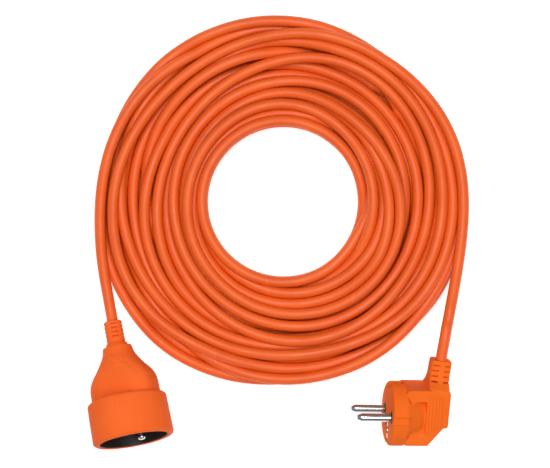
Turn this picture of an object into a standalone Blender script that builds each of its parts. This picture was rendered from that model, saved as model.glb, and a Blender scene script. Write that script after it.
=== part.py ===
"""Extension cord: an orange three-core lead of about 9.5 m, coiled flat, with a shuttered
earth-pin socket on one end and an elbow plug on the other.

Metres, +Z up.  The cord lies on z = 0, seen from above with the two
connectors below the coil.  The origin is under the middle of the two connectors.

Each connector is built in a frame of its own: +Z points out of its mating
face.  In the socket +Y is its upper side.  In the plug +Y is the side that the
cord leaves from, and +X is the upper of the two pins.
"""

import math

import bmesh
import bpy
import numpy as np
from mathutils import Matrix, Vector

MM = 0.001
DEG = math.pi / 180

# --- gaps between pieces that touch ------------------------------------------
SEAT_GAP = 0.3 * MM
RUNNING_GAP = 0.4 * MM

# --- the cord -------------------------------------------------------------------
CORD_DIAMETER = 6.4 * MM
CORE_DIAMETER = 2.4 * MM
CORE_CIRCLE_RADIUS = 1.65 * MM
STRAND_GAP = 0.45 * MM
COIL_OUTER_RADIUS = 107.2 * MM
COIL_START_ANGLE = 186 * DEG
COIL_TURNS = 18 + (186 + 10.6) / 360
POINTS_PER_TURN = 24

# --- the mating standard: two pins 19 mm apart and an earth 10 mm off them ------
PIN_DIAMETER = 4.8 * MM
PIN_LENGTH = 19 * MM
PIN_SPACING = 19 * MM
EARTH_OFFSET = 10 * MM
RECESS_DEPTH = 15 * MM
RECESS_DIAMETER = 39.6 * MM

# --- socket ----------------------------------------------------------------------
COLLAR_DIAMETER = 47.4 * MM
COLLAR_LENGTH = 26.4 * MM
COLLAR_DRAFT = 0.5 * MM
COLLAR_EDGE_RADIUS = 2.8 * MM
COLLAR_BACK_RADIUS = 2.5 * MM
NECK_START = 55.0 * MM
SOCKET_RELIEF_START = 57.5 * MM
SOCKET_RELIEF_DIAMETER = 10.6 * MM
SOCKET_LENGTH = 70.5 * MM
# The flattened oval behind the collar: depth, half width, half thickness, squareness
SHOULDER_SECTIONS = (
    (25.0, 19.7, 11.6, 3.2), (33.5, 19.4, 11.4, 3.2), (37.5, 18.1, 11.0, 3.0),
    (39.5, 16.9, 10.8, 2.9), (41.3, 15.4, 10.5, 2.8), (43.3, 13.8, 10.2, 2.7),
    (45.4, 12.3, 9.9, 2.6), (47.5, 11.0, 9.5, 2.4), (49.5, 9.9, 9.1, 2.2),
    (52.0, 9.1, 8.7, 2.0), (55.0, 8.5, 8.4, 2.0))
GRIP_RIB_FIRST_DEPTH = 42.11 * MM
GRIP_RIB_HALF_LENGTH = 8.55 * MM
GRIP_RIB_STEP = 0.87 * MM
GRIP_RIB_COUNT = 5
GRIP_RIB_PITCH = 1.45 * MM
GRIP_RIB_HEIGHT = 0.35 * MM
GRIP_RIB_WIDTH = 0.7 * MM

LIP_DEPTH = 1.5 * MM
CUP_WALL = 1.4 * MM
DECK_THICKNESS = 2.0 * MM
CONTACT_HOLE_DIAMETER = 5.5 * MM
CHAMBER_DEPTH = 5.0 * MM
SKIRT_WALL = 1.2 * MM
CARRIER_DISC_THICKNESS = 3.0 * MM
CARRIER_LENGTH = 12.9 * MM
CARRIER_HALF_HEIGHT = 6.2 * MM
CONTACT_OUTER_DIAMETER = 5.8 * MM
CARRIER_RIM = 1.6 * MM
CHAMBER_RADIUS = PIN_SPACING / 2 + CONTACT_OUTER_DIAMETER / 2 + CARRIER_RIM
CONTACT_BORE_DIAMETER = 4.3 * MM
CONTACT_SLIT = 0.8 * MM
CRIMP_DIAMETER = 3.2 * MM
CRIMP_LENGTH = 4.4 * MM
EARTH_TAB_THICKNESS = 1.1 * MM
EARTH_TAB_HALF_WIDTH = 2.0 * MM

SHUTTER_THICKNESS = 2.0 * MM
SHUTTER_HUB_RADIUS = 3.4 * MM
WING_PAST_PIN = 3.2 * MM
SHUTTER_WING_RADIUS = PIN_SPACING / 2 + WING_PAST_PIN
SHUTTER_WING_HALF_ANGLE = 18.5 * DEG
WING_STEPS = 6
SHUTTER_RAMP_ANGLE = 14 * DEG
SHUTTER_RAMP_START = 0.5 * MM
PIVOT_RADIUS = 1.5 * MM
SPRING_WIRE_DIAMETER = 0.5 * MM
SPRING_RADIUS = 2.5 * MM
SPRING_TURNS = 1.5
SPRING_LEG = 4.0 * MM

# --- plug --------------------------------------------------------------------------
FLANGE_DIAMETER = 37.7 * MM
FLANGE_DEPTH = 12.0 * MM
FLANGE_EDGE_RADIUS = 2.0 * MM
HANDLE_THICKNESS = 28.0 * MM
HANDLE_TOP = 16.6 * MM
HANDLE_BOTTOM = 16.2 * MM
HANDLE_DEPTH = 34.2 * MM
HANDLE_BACK_LEAN = 0.6 * MM
HANDLE_LIP_DROP = 5.6 * MM
HANDLE_LIP_THICKNESS = 2.7 * MM
HANDLE_BOTTOM_DEPTH = 22.1 * MM
HANDLE_EDGE_RADIUS = 2.2 * MM
HANDLE_CORNER_RADIUS = 3.0 * MM
PLUG_RIB_COUNT = 5
PLUG_RIB_PITCH = 2.0 * MM
PLUG_RIB_FIRST_DEPTH = 22.0 * MM
PLUG_RIB_CENTRE = 3.0 * MM
PLUG_RIB_LENGTH = 21.0 * MM
PLUG_RIB_STEP = 1.2 * MM
PLUG_RIB_WIDTH = 1.0 * MM
PLUG_RIB_HEIGHT = 0.5 * MM
SCOOP_DEPTH = 1.3 * MM
SCOOP_RADIUS = 9.0 * MM
SCOOP_LENGTH = 14.0 * MM
SCOOP_CENTRE_DEPTH = 18.0 * MM
PLUG_RELIEF_DEPTH = 27.4 * MM
PLUG_RELIEF_LEAN = 6.2 * DEG
PLUG_RELIEF_LENGTH = 15.4 * MM
PLUG_RELIEF_WIDTH = 12.2 * MM
PLUG_RELIEF_THICKNESS = 11.0 * MM
PLUG_RELIEF_CORNER_RADIUS = 2.0 * MM
PLUG_RELIEF_TAPER = 0.97
PLUG_RELIEF_ROOT = 3.5 * MM

FACE_THICKNESS = 1.5 * MM
BRIDGE_LENGTH = 8.0 * MM
PIN_COLLAR_RADIUS = 3.7 * MM
BRIDGE_RIM = 0.8 * MM
BRIDGE_RADIUS = PIN_SPACING / 2 + PIN_COLLAR_RADIUS + BRIDGE_RIM
PIN_COLLAR_STAND = 0.3 * MM
EARTH_WINDOW_WIDTH = 7.2 * MM
EARTH_WINDOW_LENGTH = 11.8 * MM
EARTH_PLATE_RECESS = 0.5 * MM
EARTH_PLATE_THICKNESS = 0.8 * MM
EARTH_SLEEVE_LENGTH = 9.5 * MM
EARTH_SLEEVE_WALL = 0.8 * MM
EARTH_SLEEVE_SLACK = 0.2 * MM
EARTH_PLATE_SIDE_GAP = 0.8 * MM
EARTH_PLATE_END_GAP = 0.5 * MM
STRIP_WIDTH = 5.6 * MM
STRIP_THICKNESS = 0.9 * MM
STRIP_STAND_IN = 1.55 * MM
STRIP_LEG_FRONT = 1.0 * MM
CORE_ROOM_PAST_PIN = 1.8 * MM
CORE_ROOM_HALF_WIDTH = PIN_SPACING / 2 + CORE_ROOM_PAST_PIN
CORE_ROOM_BOTTOM = 5.0 * MM
CORE_ROOM_TOP = 13.5 * MM
CORE_ROOM_END = 28.5 * MM

# --- strain relief windows, shared by both ends ------------------------------------
RELIEF_ROW_PITCH = 3.0 * MM
RELIEF_FIRST_ROW = 2.6 * MM
RELIEF_END_RING = 0.9 * MM
RELIEF_SLOT_HALF_WIDTH = 3.2 * MM
RELIEF_SLOT_TURN = 25 * DEG
RELIEF_SLOT_HEIGHT = 1.0 * MM
RELIEF_SLOT_DEPTH = 1.4 * MM

# --- how the connectors lie on the floor, in the coil's plan -------------------------
SOCKET_MOUTH_PLAN = Vector((-85.8, -137.9, 0)) * MM
SOCKET_YAW = 11.1 * DEG
SOCKET_TILT = 13.5 * DEG
SOCKET_ROLL = 25 * DEG
PLUG_FACE_PLAN = Vector((61.2, -123.4, 0)) * MM
PLUG_YAW = -1.2 * DEG
PLUG_TILT = 9.5 * DEG
PLUG_ROLL = 12 * DEG

# --- facets --------------------------------------------------------------------------
SHELL_SIDES = 36
SMALL_SIDES = 16
ARC_POINTS = 4


# =====================================================================================
# Helpers
# =====================================================================================

def clear_scene():
    for obj in list(bpy.data.objects):
        bpy.data.objects.remove(obj, do_unlink=True)


def add_material(name, colour, roughness, metallic=0.0):
    material = bpy.data.materials.new(name)
    material.use_nodes = True
    shader = material.node_tree.nodes["Principled BSDF"]
    shader.inputs["Base Color"].default_value = (*colour, 1)
    shader.inputs["Roughness"].default_value = roughness
    shader.inputs["Metallic"].default_value = metallic
    return material


def add_object(name, data):
    obj = bpy.data.objects.new(name, data)
    bpy.context.scene.collection.objects.link(obj)
    return obj


def add_mesh(name, bm):
    bmesh.ops.recalc_face_normals(bm, faces=bm.faces)
    mesh = bpy.data.meshes.new(name)
    bm.to_mesh(mesh)
    bm.free()
    return add_object(name, mesh)


def baked(obj, face_outward=False):
    """Give back a mesh object that holds what the modifiers make.

    A solid with a closed hollow in it must keep its faces as they are.
    """
    bpy.context.view_layer.update()
    graph = bpy.context.evaluated_depsgraph_get()
    mesh = bpy.data.meshes.new_from_object(obj.evaluated_get(graph))
    bm = bmesh.new()
    bm.from_mesh(mesh)
    bmesh.ops.remove_doubles(bm, verts=bm.verts, dist=0.001 * MM)
    if face_outward:
        bmesh.ops.recalc_face_normals(bm, faces=bm.faces)
    bm.to_mesh(mesh)
    bm.free()
    name = obj.name
    matrix = obj.matrix_world.copy()
    bpy.data.objects.remove(obj, do_unlink=True)
    result = add_object(name, mesh)
    result.matrix_world = matrix
    return result


def combined(target, tools, operation):
    for tool in tools:
        modifier = target.modifiers.new(operation, "BOOLEAN")
        modifier.object = tool
        modifier.operation = operation
        target = baked(target)
        bpy.data.objects.remove(tool, do_unlink=True)
    return target


def cut(target, *tools):
    return combined(target, tools, "DIFFERENCE")


def joined(target, *tools):
    return combined(target, tools, "UNION")


def common(target, tool):
    return combined(target, [tool], "INTERSECT")


def turned(name, profile, sides=SHELL_SIDES):
    """Turn a profile of (radius, height) points, from top to bottom, round Z."""
    bm = bmesh.new()
    verts = [bm.verts.new((radius, 0, height)) for radius, height in profile]
    for first, second in zip(verts, verts[1:]):
        bm.edges.new((first, second))
    mesh = bpy.data.meshes.new(name)
    bm.to_mesh(mesh)
    bm.free()
    obj = add_object(name, mesh)
    screw = obj.modifiers.new("turn", "SCREW")
    screw.steps = sides
    screw.render_steps = sides
    screw.use_merge_vertices = True
    screw.merge_threshold = 0.001 * MM
    return baked(obj, face_outward=True)


def cylinder(name, radius, bottom, top, centre=(0, 0), sides=SMALL_SIDES):
    bm = bmesh.new()
    bmesh.ops.create_cone(bm, cap_ends=True, segments=sides, radius1=radius, radius2=radius,
                          depth=top - bottom)
    bmesh.ops.translate(bm, verts=bm.verts, vec=(*centre, (top + bottom) / 2))
    return add_mesh(name, bm)


def box(name, low, high):
    bm = bmesh.new()
    bmesh.ops.create_cube(bm, size=1)
    size = Vector(high) - Vector(low)
    bmesh.ops.scale(bm, verts=bm.verts, vec=size)
    bmesh.ops.translate(bm, verts=bm.verts, vec=(Vector(high) + Vector(low)) / 2)
    return add_mesh(name, bm)


def moved(obj, matrix):
    obj.data.transform(matrix)
    return obj


def extruded(name, outline, low, high):
    """Extrude an outline of (y, z) points along X, from low to high."""
    bm = bmesh.new()
    face = bm.faces.new([bm.verts.new((low, y, z)) for y, z in outline])
    grown = bmesh.ops.extrude_face_region(bm, geom=[face])
    verts = [item for item in grown["geom"] if isinstance(item, bmesh.types.BMVert)]
    bmesh.ops.translate(bm, verts=verts, vec=(high - low, 0, 0))
    return add_mesh(name, bm)


def signed_power(value, power):
    return math.copysign(abs(value) ** power, value)


def lofted(name, sections, sides=SHELL_SIDES):
    """Join ovals of (z, half width, half height, squareness) into one solid.

    A squareness of 2 gives an ellipse, and a larger one a rounded oblong.
    """
    bm = bmesh.new()
    rings = []
    for z, half_width, half_height, squareness in sections:
        ring = []
        for step in range(sides):
            angle = 2 * math.pi * step / sides
            x = half_width * signed_power(math.cos(angle), 2 / squareness)
            y = half_height * signed_power(math.sin(angle), 2 / squareness)
            ring.append(bm.verts.new((x, y, z)))
        rings.append(ring)
    for low, high in zip(rings, rings[1:]):
        for step in range(sides):
            following = (step + 1) % sides
            bm.faces.new((low[step], low[following], high[following], high[step]))
    bm.faces.new(rings[0])
    bm.faces.new(rings[-1])
    return add_mesh(name, bm)


def arc(centre, radius, start, end, count=ARC_POINTS):
    """Points of a profile's rounded corner, with both ends."""
    points = []
    for step in range(count + 1):
        angle = start + (end - start) * step / count
        points.append((centre[0] + radius * math.cos(angle), centre[1] + radius * math.sin(angle)))
    return points


def smooth_route(points, spacing):
    """Points along a smooth curve through the given ones, its first and last legs straight."""
    knots = np.array([tuple(point) for point in points])
    fine = []
    for index in range(1, len(knots) - 2):
        before, start, end, after = knots[index - 1:index + 3]
        for t in np.linspace(0, 1, 24, endpoint=False):
            fine.append(0.5 * (2 * start + (end - before) * t
                               + (2 * before - 5 * start + 4 * end - after) * t ** 2
                               + (3 * start - before - 3 * end + after) * t ** 3))
    fine.append(knots[-2])
    fine = np.array(fine)
    travelled = np.concatenate([[0], np.cumsum(np.linalg.norm(np.diff(fine, axis=0), axis=1))])
    count = max(2, round(travelled[-1] / spacing))
    wanted = np.linspace(0, travelled[-1], count + 1)
    middle = np.column_stack([np.interp(wanted, travelled, fine[:, axis]) for axis in range(3)])
    return np.vstack([knots[0], middle, knots[-1]])


def tube(name, points, radius, resolution=2):
    curve = bpy.data.curves.new(name, "CURVE")
    curve.dimensions = "3D"
    curve.twist_mode = "Z_UP"
    curve.bevel_depth = radius
    curve.bevel_resolution = resolution
    curve.use_fill_caps = True
    spline = curve.splines.new("POLY")
    spline.points.add(len(points) - 1)
    for target, point in zip(spline.points, points):
        target.co = (*point, 1)
    return add_object(name, curve)


def finished(obj, material, parent=None):
    """Give a piece its material and shading, and put it in its connector's frame."""
    obj.data.materials.clear()
    obj.data.materials.append(material)
    if obj.type == "MESH":
        obj.data.shade_smooth()
        obj.data.set_sharp_from_angle(angle=35 * DEG)
    if parent:
        obj.parent = parent
    return obj


# =====================================================================================
# Places: each connector's frame on the floor
# =====================================================================================

def frame_empty(name, matrix):
    empty = add_object(name, None)
    empty.matrix_world = matrix
    return empty


def facing_frame(out, up, roll):
    """Axes with Z along out and Y near up, turned by roll about Z."""
    out = out.normalized()
    side = up.cross(out).normalized()
    upright = out.cross(side)
    matrix = Matrix((side, upright, out)).transposed().to_4x4()
    return matrix @ Matrix.Rotation(roll, 4, "Z")


def socket_matrix():
    """The socket rests on the back edge of its collar, mouth raised."""
    out = Vector((math.sin(SOCKET_YAW) * math.cos(SOCKET_TILT),
                  -math.cos(SOCKET_YAW) * math.cos(SOCKET_TILT),
                  math.sin(SOCKET_TILT)))
    turn = facing_frame(out, Vector((0, 0, 1)), SOCKET_ROLL)
    lowest = 0.0
    for radius, height in collar_profile():
        reach = height * math.sin(SOCKET_TILT) - radius * math.cos(SOCKET_TILT)
        lowest = min(lowest, reach)
    place = SOCKET_MOUTH_PLAN + Vector((0, 0, -lowest))
    return Matrix.Translation(place) @ turn


def plug_matrix():
    """The plug lies on its side, on the back edge of its flange."""
    turn = (Matrix.Rotation(PLUG_YAW, 4, "Z") @ Matrix.Rotation(PLUG_TILT, 4, "Y")
            @ Matrix.Rotation(PLUG_ROLL, 4, "X"))
    axes = Matrix(((0, 0, -1), (0, 1, 0), (1, 0, 0))).to_4x4()
    turn = turn @ axes
    flange = Vector((0, 0, -FLANGE_DEPTH))
    lowest = (turn @ flange).z - FLANGE_DIAMETER / 2 * math.cos(PLUG_TILT)
    return Matrix.Translation(PLUG_FACE_PLAN + Vector((0, 0, -lowest))) @ turn


# =====================================================================================
# Socket end
# =====================================================================================

CONTACT_PLACES = ((PIN_SPACING / 2, 0), (-PIN_SPACING / 2, 0))
EARTH_PLACE = (0, -EARTH_OFFSET)
DECK_FRONT = -RECESS_DEPTH
DECK_BACK = DECK_FRONT - DECK_THICKNESS
CARRIER_FRONT = DECK_BACK - CHAMBER_DEPTH
DISC_BACK = CARRIER_FRONT - CARRIER_DISC_THICKNESS
CARRIER_BACK = CARRIER_FRONT - CARRIER_LENGTH
CUP_OUTER_RADIUS = RECESS_DIAMETER / 2 + CUP_WALL
SKIRT_RADIUS = CHAMBER_RADIUS + SKIRT_WALL
TAB_BACK = DISC_BACK
TAB_FRONT = TAB_BACK + EARTH_TAB_THICKNESS
CRIMP_BACK = CARRIER_BACK - SEAT_GAP - CRIMP_LENGTH
SOCKET_SHEATH_END = -SOCKET_RELIEF_START
SHEATH_BORE = CORD_DIAMETER / 2 + SEAT_GAP
EARTH_CRIMP_PLACE = (0, -3.1 * MM)
EARTH_TAB_END = -1.2 * MM


def collar_profile():
    outer = COLLAR_DIAMETER / 2
    back_outer = outer - COLLAR_DRAFT
    front = arc((outer - COLLAR_EDGE_RADIUS, -COLLAR_EDGE_RADIUS), COLLAR_EDGE_RADIUS, 90 * DEG, 0)
    back = arc((back_outer - COLLAR_BACK_RADIUS, -COLLAR_LENGTH + COLLAR_BACK_RADIUS),
               COLLAR_BACK_RADIUS, 0, -90 * DEG)
    return front + back


def shoulder_section(depth, grown=0.0):
    """The oval at a depth behind the mouth, as lofted() takes it."""
    depths = [row[0] * MM for row in SHOULDER_SECTIONS]
    half_width, half_height, squareness = [
        float(np.interp(depth, depths, [row[column] for row in SHOULDER_SECTIONS]))
        for column in (1, 2, 3)]
    return (-depth, half_width * MM + grown, half_height * MM + grown, squareness)


def socket_shell():
    """Round collar, flattened shoulders that narrow to the neck, round strain relief."""
    relief = SOCKET_RELIEF_DIAMETER / 2
    collar = turned("socket_body", [(0, 0)] + collar_profile() + [(0, -COLLAR_LENGTH)])
    shoulders = lofted("shoulders", [shoulder_section(row[0] * MM) for row in SHOULDER_SECTIONS])
    neck = -NECK_START + 1 * MM
    tail = turned("tail", [
        (0, neck), (relief + 1.2 * MM, neck), (relief + 1.2 * MM, -SOCKET_RELIEF_START + 1 * MM),
        (relief, -SOCKET_RELIEF_START), (relief, -SOCKET_LENGTH + 0.6 * MM),
        (relief - 0.6 * MM, -SOCKET_LENGTH), (0, -SOCKET_LENGTH)])
    return joined(collar, shoulders, tail)


def grip_rib(side, index):
    """One raised rib across the broad side, near the neck."""
    depth = GRIP_RIB_FIRST_DEPTH + index * GRIP_RIB_PITCH
    half = GRIP_RIB_HALF_LENGTH - index * GRIP_RIB_STEP
    slice_of_shell = lofted("rib", [shoulder_section(depth, GRIP_RIB_HEIGHT),
                                    shoulder_section(depth + GRIP_RIB_WIDTH, GRIP_RIB_HEIGHT)])
    low, high = sorted((side * 5 * MM, side * COLLAR_DIAMETER / 2))
    limits = box("limits", (-half, low, -depth - 1 * MM), (half, high, -depth + 1 * MM))
    return common(slice_of_shell, limits)


def relief_rows(length):
    """How many rows of windows a strain relief of this length has room for."""
    room = length - RELIEF_FIRST_ROW - RELIEF_SLOT_HEIGHT / 2 - RELIEF_END_RING
    return max(0, int(room / RELIEF_ROW_PITCH + 0.001) + 1)


def round_relief_slots():
    """Windows in a round strain relief, each row a quarter turn on from the last."""
    slots = []
    radius = SOCKET_RELIEF_DIAMETER / 2
    for row in range(relief_rows(SOCKET_LENGTH - SOCKET_RELIEF_START)):
        depth = SOCKET_RELIEF_START + RELIEF_FIRST_ROW + row * RELIEF_ROW_PITCH
        for half_turn in range(2):
            low = (-RELIEF_SLOT_HALF_WIDTH, radius - RELIEF_SLOT_DEPTH,
                   -depth - RELIEF_SLOT_HEIGHT / 2)
            high = (RELIEF_SLOT_HALF_WIDTH, radius + 1 * MM, -depth + RELIEF_SLOT_HEIGHT / 2)
            slot = box("slot", low, high)
            turn = half_turn * math.pi + (row % 2) * math.pi / 2 + RELIEF_SLOT_TURN
            slots.append(moved(slot, Matrix.Rotation(turn, 4, "Z")))
    return slots


def carrier_block(gap, front, back):
    """The contact carrier's block, grown by a gap all round."""
    half_height = CARRIER_HALF_HEIGHT + gap
    slab = box("slab", (-CHAMBER_RADIUS, -half_height, back), (CHAMBER_RADIUS, half_height, front))
    radius = CHAMBER_RADIUS - SEAT_GAP + gap
    return common(slab, cylinder("round", radius, back - 1 * MM, front + 1 * MM, sides=SHELL_SIDES))


def make_socket_body(material, parent):
    """Orange outer moulding: collar, shoulders, neck and strain relief in one."""
    ribs = [grip_rib(side, index) for side in (1, -1) for index in range(GRIP_RIB_COUNT)]
    body = joined(socket_shell(), *ribs)
    lip = RECESS_DIAMETER / 2
    cup = CUP_OUTER_RADIUS + SEAT_GAP
    skirt = SKIRT_RADIUS + SEAT_GAP
    recess = turned("recess", [
        (0, 1 * MM), (lip, 1 * MM), (lip, -LIP_DEPTH), (cup, -LIP_DEPTH),
        (cup, DECK_BACK - SEAT_GAP), (skirt, DECK_BACK - SEAT_GAP),
        (skirt, DISC_BACK - SEAT_GAP), (0, DISC_BACK - SEAT_GAP)])
    block_end = CARRIER_BACK - 2 * SEAT_GAP
    wide = PIN_SPACING / 2 + CRIMP_DIAMETER / 2 + 0.7 * MM
    core_room = lofted("core_room", [
        (block_end + 1 * MM, wide, 5.2 * MM, 2),
        (CRIMP_BACK - 0.8 * MM, wide - 0.3 * MM, 4.9 * MM, 2),
        (SOCKET_SHEATH_END + SEAT_GAP, SHEATH_BORE, SHEATH_BORE, 2)])
    bore = cylinder("bore", SHEATH_BORE, -SOCKET_LENGTH - 1 * MM, SOCKET_SHEATH_END + 1 * MM)
    body = cut(body, recess, carrier_block(SEAT_GAP, DISC_BACK, block_end), core_room, bore,
               *round_relief_slots())
    return finished(body, material, parent)


def make_socket_insert(material, parent):
    """Black cup with the contact deck, and the skirt of the shutter chamber."""
    inner = RECESS_DIAMETER / 2
    rim = -LIP_DEPTH - SEAT_GAP
    insert = turned("socket_insert", [
        (0, DECK_FRONT), (inner, DECK_FRONT), (inner, rim), (CUP_OUTER_RADIUS, rim),
        (CUP_OUTER_RADIUS, DECK_BACK), (SKIRT_RADIUS, DECK_BACK), (SKIRT_RADIUS, DISC_BACK),
        (CHAMBER_RADIUS, DISC_BACK), (CHAMBER_RADIUS, DECK_BACK), (0, DECK_BACK)])
    holes = [cylinder("hole", CONTACT_HOLE_DIAMETER / 2, DECK_BACK - 1 * MM, DECK_FRONT + 1 * MM, place)
             for place in CONTACT_PLACES]
    earth = cylinder("earth", PIN_DIAMETER / 2 + SEAT_GAP, DECK_BACK - 1 * MM, DECK_FRONT + 1 * MM,
                     EARTH_PLACE)
    insert = cut(insert, *holes, earth)
    return finished(insert, material, parent)


def make_contact_carrier(material, parent):
    """Black block that holds the contacts, closes the chamber and carries the pivot."""
    disc = cylinder("contact_carrier", CHAMBER_RADIUS - SEAT_GAP, DISC_BACK, CARRIER_FRONT,
                    sides=SHELL_SIDES)
    pivot = cylinder("pivot", PIVOT_RADIUS, CARRIER_FRONT - 0.5 * MM, DECK_BACK - SEAT_GAP)
    carrier = joined(disc, carrier_block(0, DISC_BACK + 0.5 * MM, CARRIER_BACK), pivot)
    pocket = CONTACT_OUTER_DIAMETER / 2 + SEAT_GAP
    pockets = [cylinder("pocket", pocket, CARRIER_BACK - 1 * MM, CARRIER_FRONT + 1 * MM, place)
               for place in CONTACT_PLACES]
    earth = cylinder("earth", PIN_DIAMETER / 2 + SEAT_GAP, DISC_BACK - 1 * MM,
                     CARRIER_FRONT + 1 * MM, EARTH_PLACE)
    half_channel = EARTH_TAB_HALF_WIDTH + SEAT_GAP
    channel = box("channel", (-half_channel, -EARTH_OFFSET, CARRIER_BACK - 1 * MM),
                  (half_channel, EARTH_TAB_END + SEAT_GAP, TAB_FRONT + SEAT_GAP))
    carrier = cut(carrier, *pockets, earth, channel)
    return finished(carrier, material, parent)


def make_contact(name, place, material, parent):
    """Slit spring sleeve that grips a pin, with the crimp for its core behind."""
    outer = CONTACT_OUTER_DIAMETER / 2
    bore = CONTACT_BORE_DIAMETER / 2
    front = CARRIER_FRONT - SEAT_GAP
    base = CARRIER_BACK + 0.6 * MM
    back = CARRIER_BACK - SEAT_GAP
    crimp = CRIMP_DIAMETER / 2
    contact = turned(name, [
        (0, base), (bore, base), (bore, front - 0.5 * MM), (bore + 0.4 * MM, front), (outer, front),
        (outer, back), (crimp, back), (crimp, CRIMP_BACK), (0, CRIMP_BACK)], sides=SMALL_SIDES)
    slit = box("slit", (-CONTACT_SLIT / 2, -outer - 1 * MM, base + 1 * MM),
               (CONTACT_SLIT / 2, outer + 1 * MM, front + 1 * MM))
    contact = cut(contact, slit)
    moved(contact, Matrix.Translation((*place, 0)))
    return finished(contact, material, parent)


def make_earth_pin(material, parent):
    """Earth pin that stands in the recess, with the tab behind the disc and its crimp."""
    radius = PIN_DIAMETER / 2
    tip = DECK_FRONT + RECESS_DEPTH - 1 * MM
    nose = arc((radius - 1.6 * MM, tip - 1.6 * MM), 1.6 * MM, 90 * DEG, 0)
    pin = turned("earth_pin", [(0, tip)] + nose + [(radius, TAB_BACK), (0, TAB_BACK)],
                 sides=SMALL_SIDES)
    moved(pin, Matrix.Translation((*EARTH_PLACE, 0)))
    tab = box("tab", (-EARTH_TAB_HALF_WIDTH, -EARTH_OFFSET, TAB_BACK),
              (EARTH_TAB_HALF_WIDTH, EARTH_TAB_END, TAB_FRONT))
    crimp = cylinder("crimp", CRIMP_DIAMETER / 2, CRIMP_BACK, TAB_BACK + 0.5 * MM, EARTH_CRIMP_PLACE)
    pin = joined(pin, tab, crimp)
    return finished(pin, material, parent)


def wing_outline(middle):
    points = [(0, 0)]
    for step in range(WING_STEPS + 1):
        angle = middle + SHUTTER_WING_HALF_ANGLE * (2 * step / WING_STEPS - 1)
        points.append((SHUTTER_WING_RADIUS * math.cos(angle), SHUTTER_WING_RADIUS * math.sin(angle)))
    return points


def make_shutter(material, parent):
    """Two-winged rotary shutter: both pins must push its ramps to turn it aside."""
    front = DECK_BACK - RUNNING_GAP
    back = front - SHUTTER_THICKNESS
    shutter = cylinder("shutter", SHUTTER_HUB_RADIUS, back, front, sides=24)
    for middle in (0, math.pi):
        bm = bmesh.new()
        face = bm.faces.new([bm.verts.new((x, y, back)) for x, y in wing_outline(middle)])
        grown = bmesh.ops.extrude_face_region(bm, geom=[face])
        verts = [item for item in grown["geom"] if isinstance(item, bmesh.types.BMVert)]
        bmesh.ops.translate(bm, verts=verts, vec=(0, 0, front - back))
        wing = add_mesh("wing", bm)
        ramp = box("ramp", (SHUTTER_HUB_RADIUS + 1.2 * MM, -9 * MM, 0),
                   (SHUTTER_WING_RADIUS + 2 * MM, 9 * MM, 6 * MM))
        lean = Matrix.Rotation(SHUTTER_RAMP_ANGLE, 4, "X")
        turn = Matrix.Rotation(middle, 4, "Z")
        moved(ramp, turn @ Matrix.Translation((0, 0, front - SHUTTER_RAMP_START)) @ lean)
        shutter = joined(shutter, cut(wing, ramp))
    bore = cylinder("bore", PIVOT_RADIUS + RUNNING_GAP, back - 1 * MM, front + 1 * MM)
    shutter = cut(shutter, bore)
    return finished(shutter, material, parent)


def make_shutter_spring(material, parent):
    """Torsion spring on the pivot, behind the shutter, that turns it back."""
    wire = SPRING_WIRE_DIAMETER / 2
    top = DECK_BACK - RUNNING_GAP - SHUTTER_THICKNESS - RUNNING_GAP - wire
    bottom = CARRIER_FRONT + SEAT_GAP + wire
    per_turn = 12
    count = round(SPRING_TURNS * per_turn)
    points = [(SPRING_RADIUS + SPRING_LEG, 0, bottom)]
    for step in range(count + 1):
        angle = 2 * math.pi * SPRING_TURNS * step / count
        height = bottom + (top - bottom) * step / count
        points.append((SPRING_RADIUS * math.cos(angle), SPRING_RADIUS * math.sin(angle), height))
    points.append((-SPRING_RADIUS - SPRING_LEG, 0, top))
    spring = tube("shutter_spring", points, wire, resolution=1)
    return finished(spring, material, parent)


def core_place(index):
    """Where a core leaves the sheath, round the cord's centre."""
    angle = (90 + 120 * index + 60) * DEG
    return Vector((CORE_CIRCLE_RADIUS * math.cos(angle), CORE_CIRCLE_RADIUS * math.sin(angle), 0))


def make_core(name, points, material, parent):
    core = tube(name, smooth_route(points, 2.2 * CORE_DIAMETER), CORE_DIAMETER / 2, resolution=1)
    return finished(core, material, parent)


def socket_core_points(start, index):
    """From the back of a crimp, inwards, to the cut end of the sheath."""
    end = core_place(index) + Vector((0, 0, SOCKET_SHEATH_END + SEAT_GAP + 0.4 * MM))
    first = Vector((*start, CRIMP_BACK - SEAT_GAP))
    stub = Vector((0, 0, -1.2 * MM))
    return [first, first + stub, end - stub, end]


# =====================================================================================
# Plug end
# =====================================================================================

BRIDGE_FRONT = -FACE_THICKNESS - SEAT_GAP
BRIDGE_BACK = BRIDGE_FRONT - BRIDGE_LENGTH
STRIP_OUTER = FLANGE_DIAMETER / 2 - STRIP_STAND_IN
STRIP_WEB_FRONT = BRIDGE_BACK - SEAT_GAP
STRIP_WEB_BACK = STRIP_WEB_FRONT - STRIP_THICKNESS
PLUG_CRIMP_BACK = BRIDGE_BACK - CRIMP_LENGTH
RELIEF_BASE = Vector((0, HANDLE_TOP - PLUG_RELIEF_ROOT, -PLUG_RELIEF_DEPTH))
RELIEF_REACH = PLUG_RELIEF_ROOT + PLUG_RELIEF_LENGTH


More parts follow.
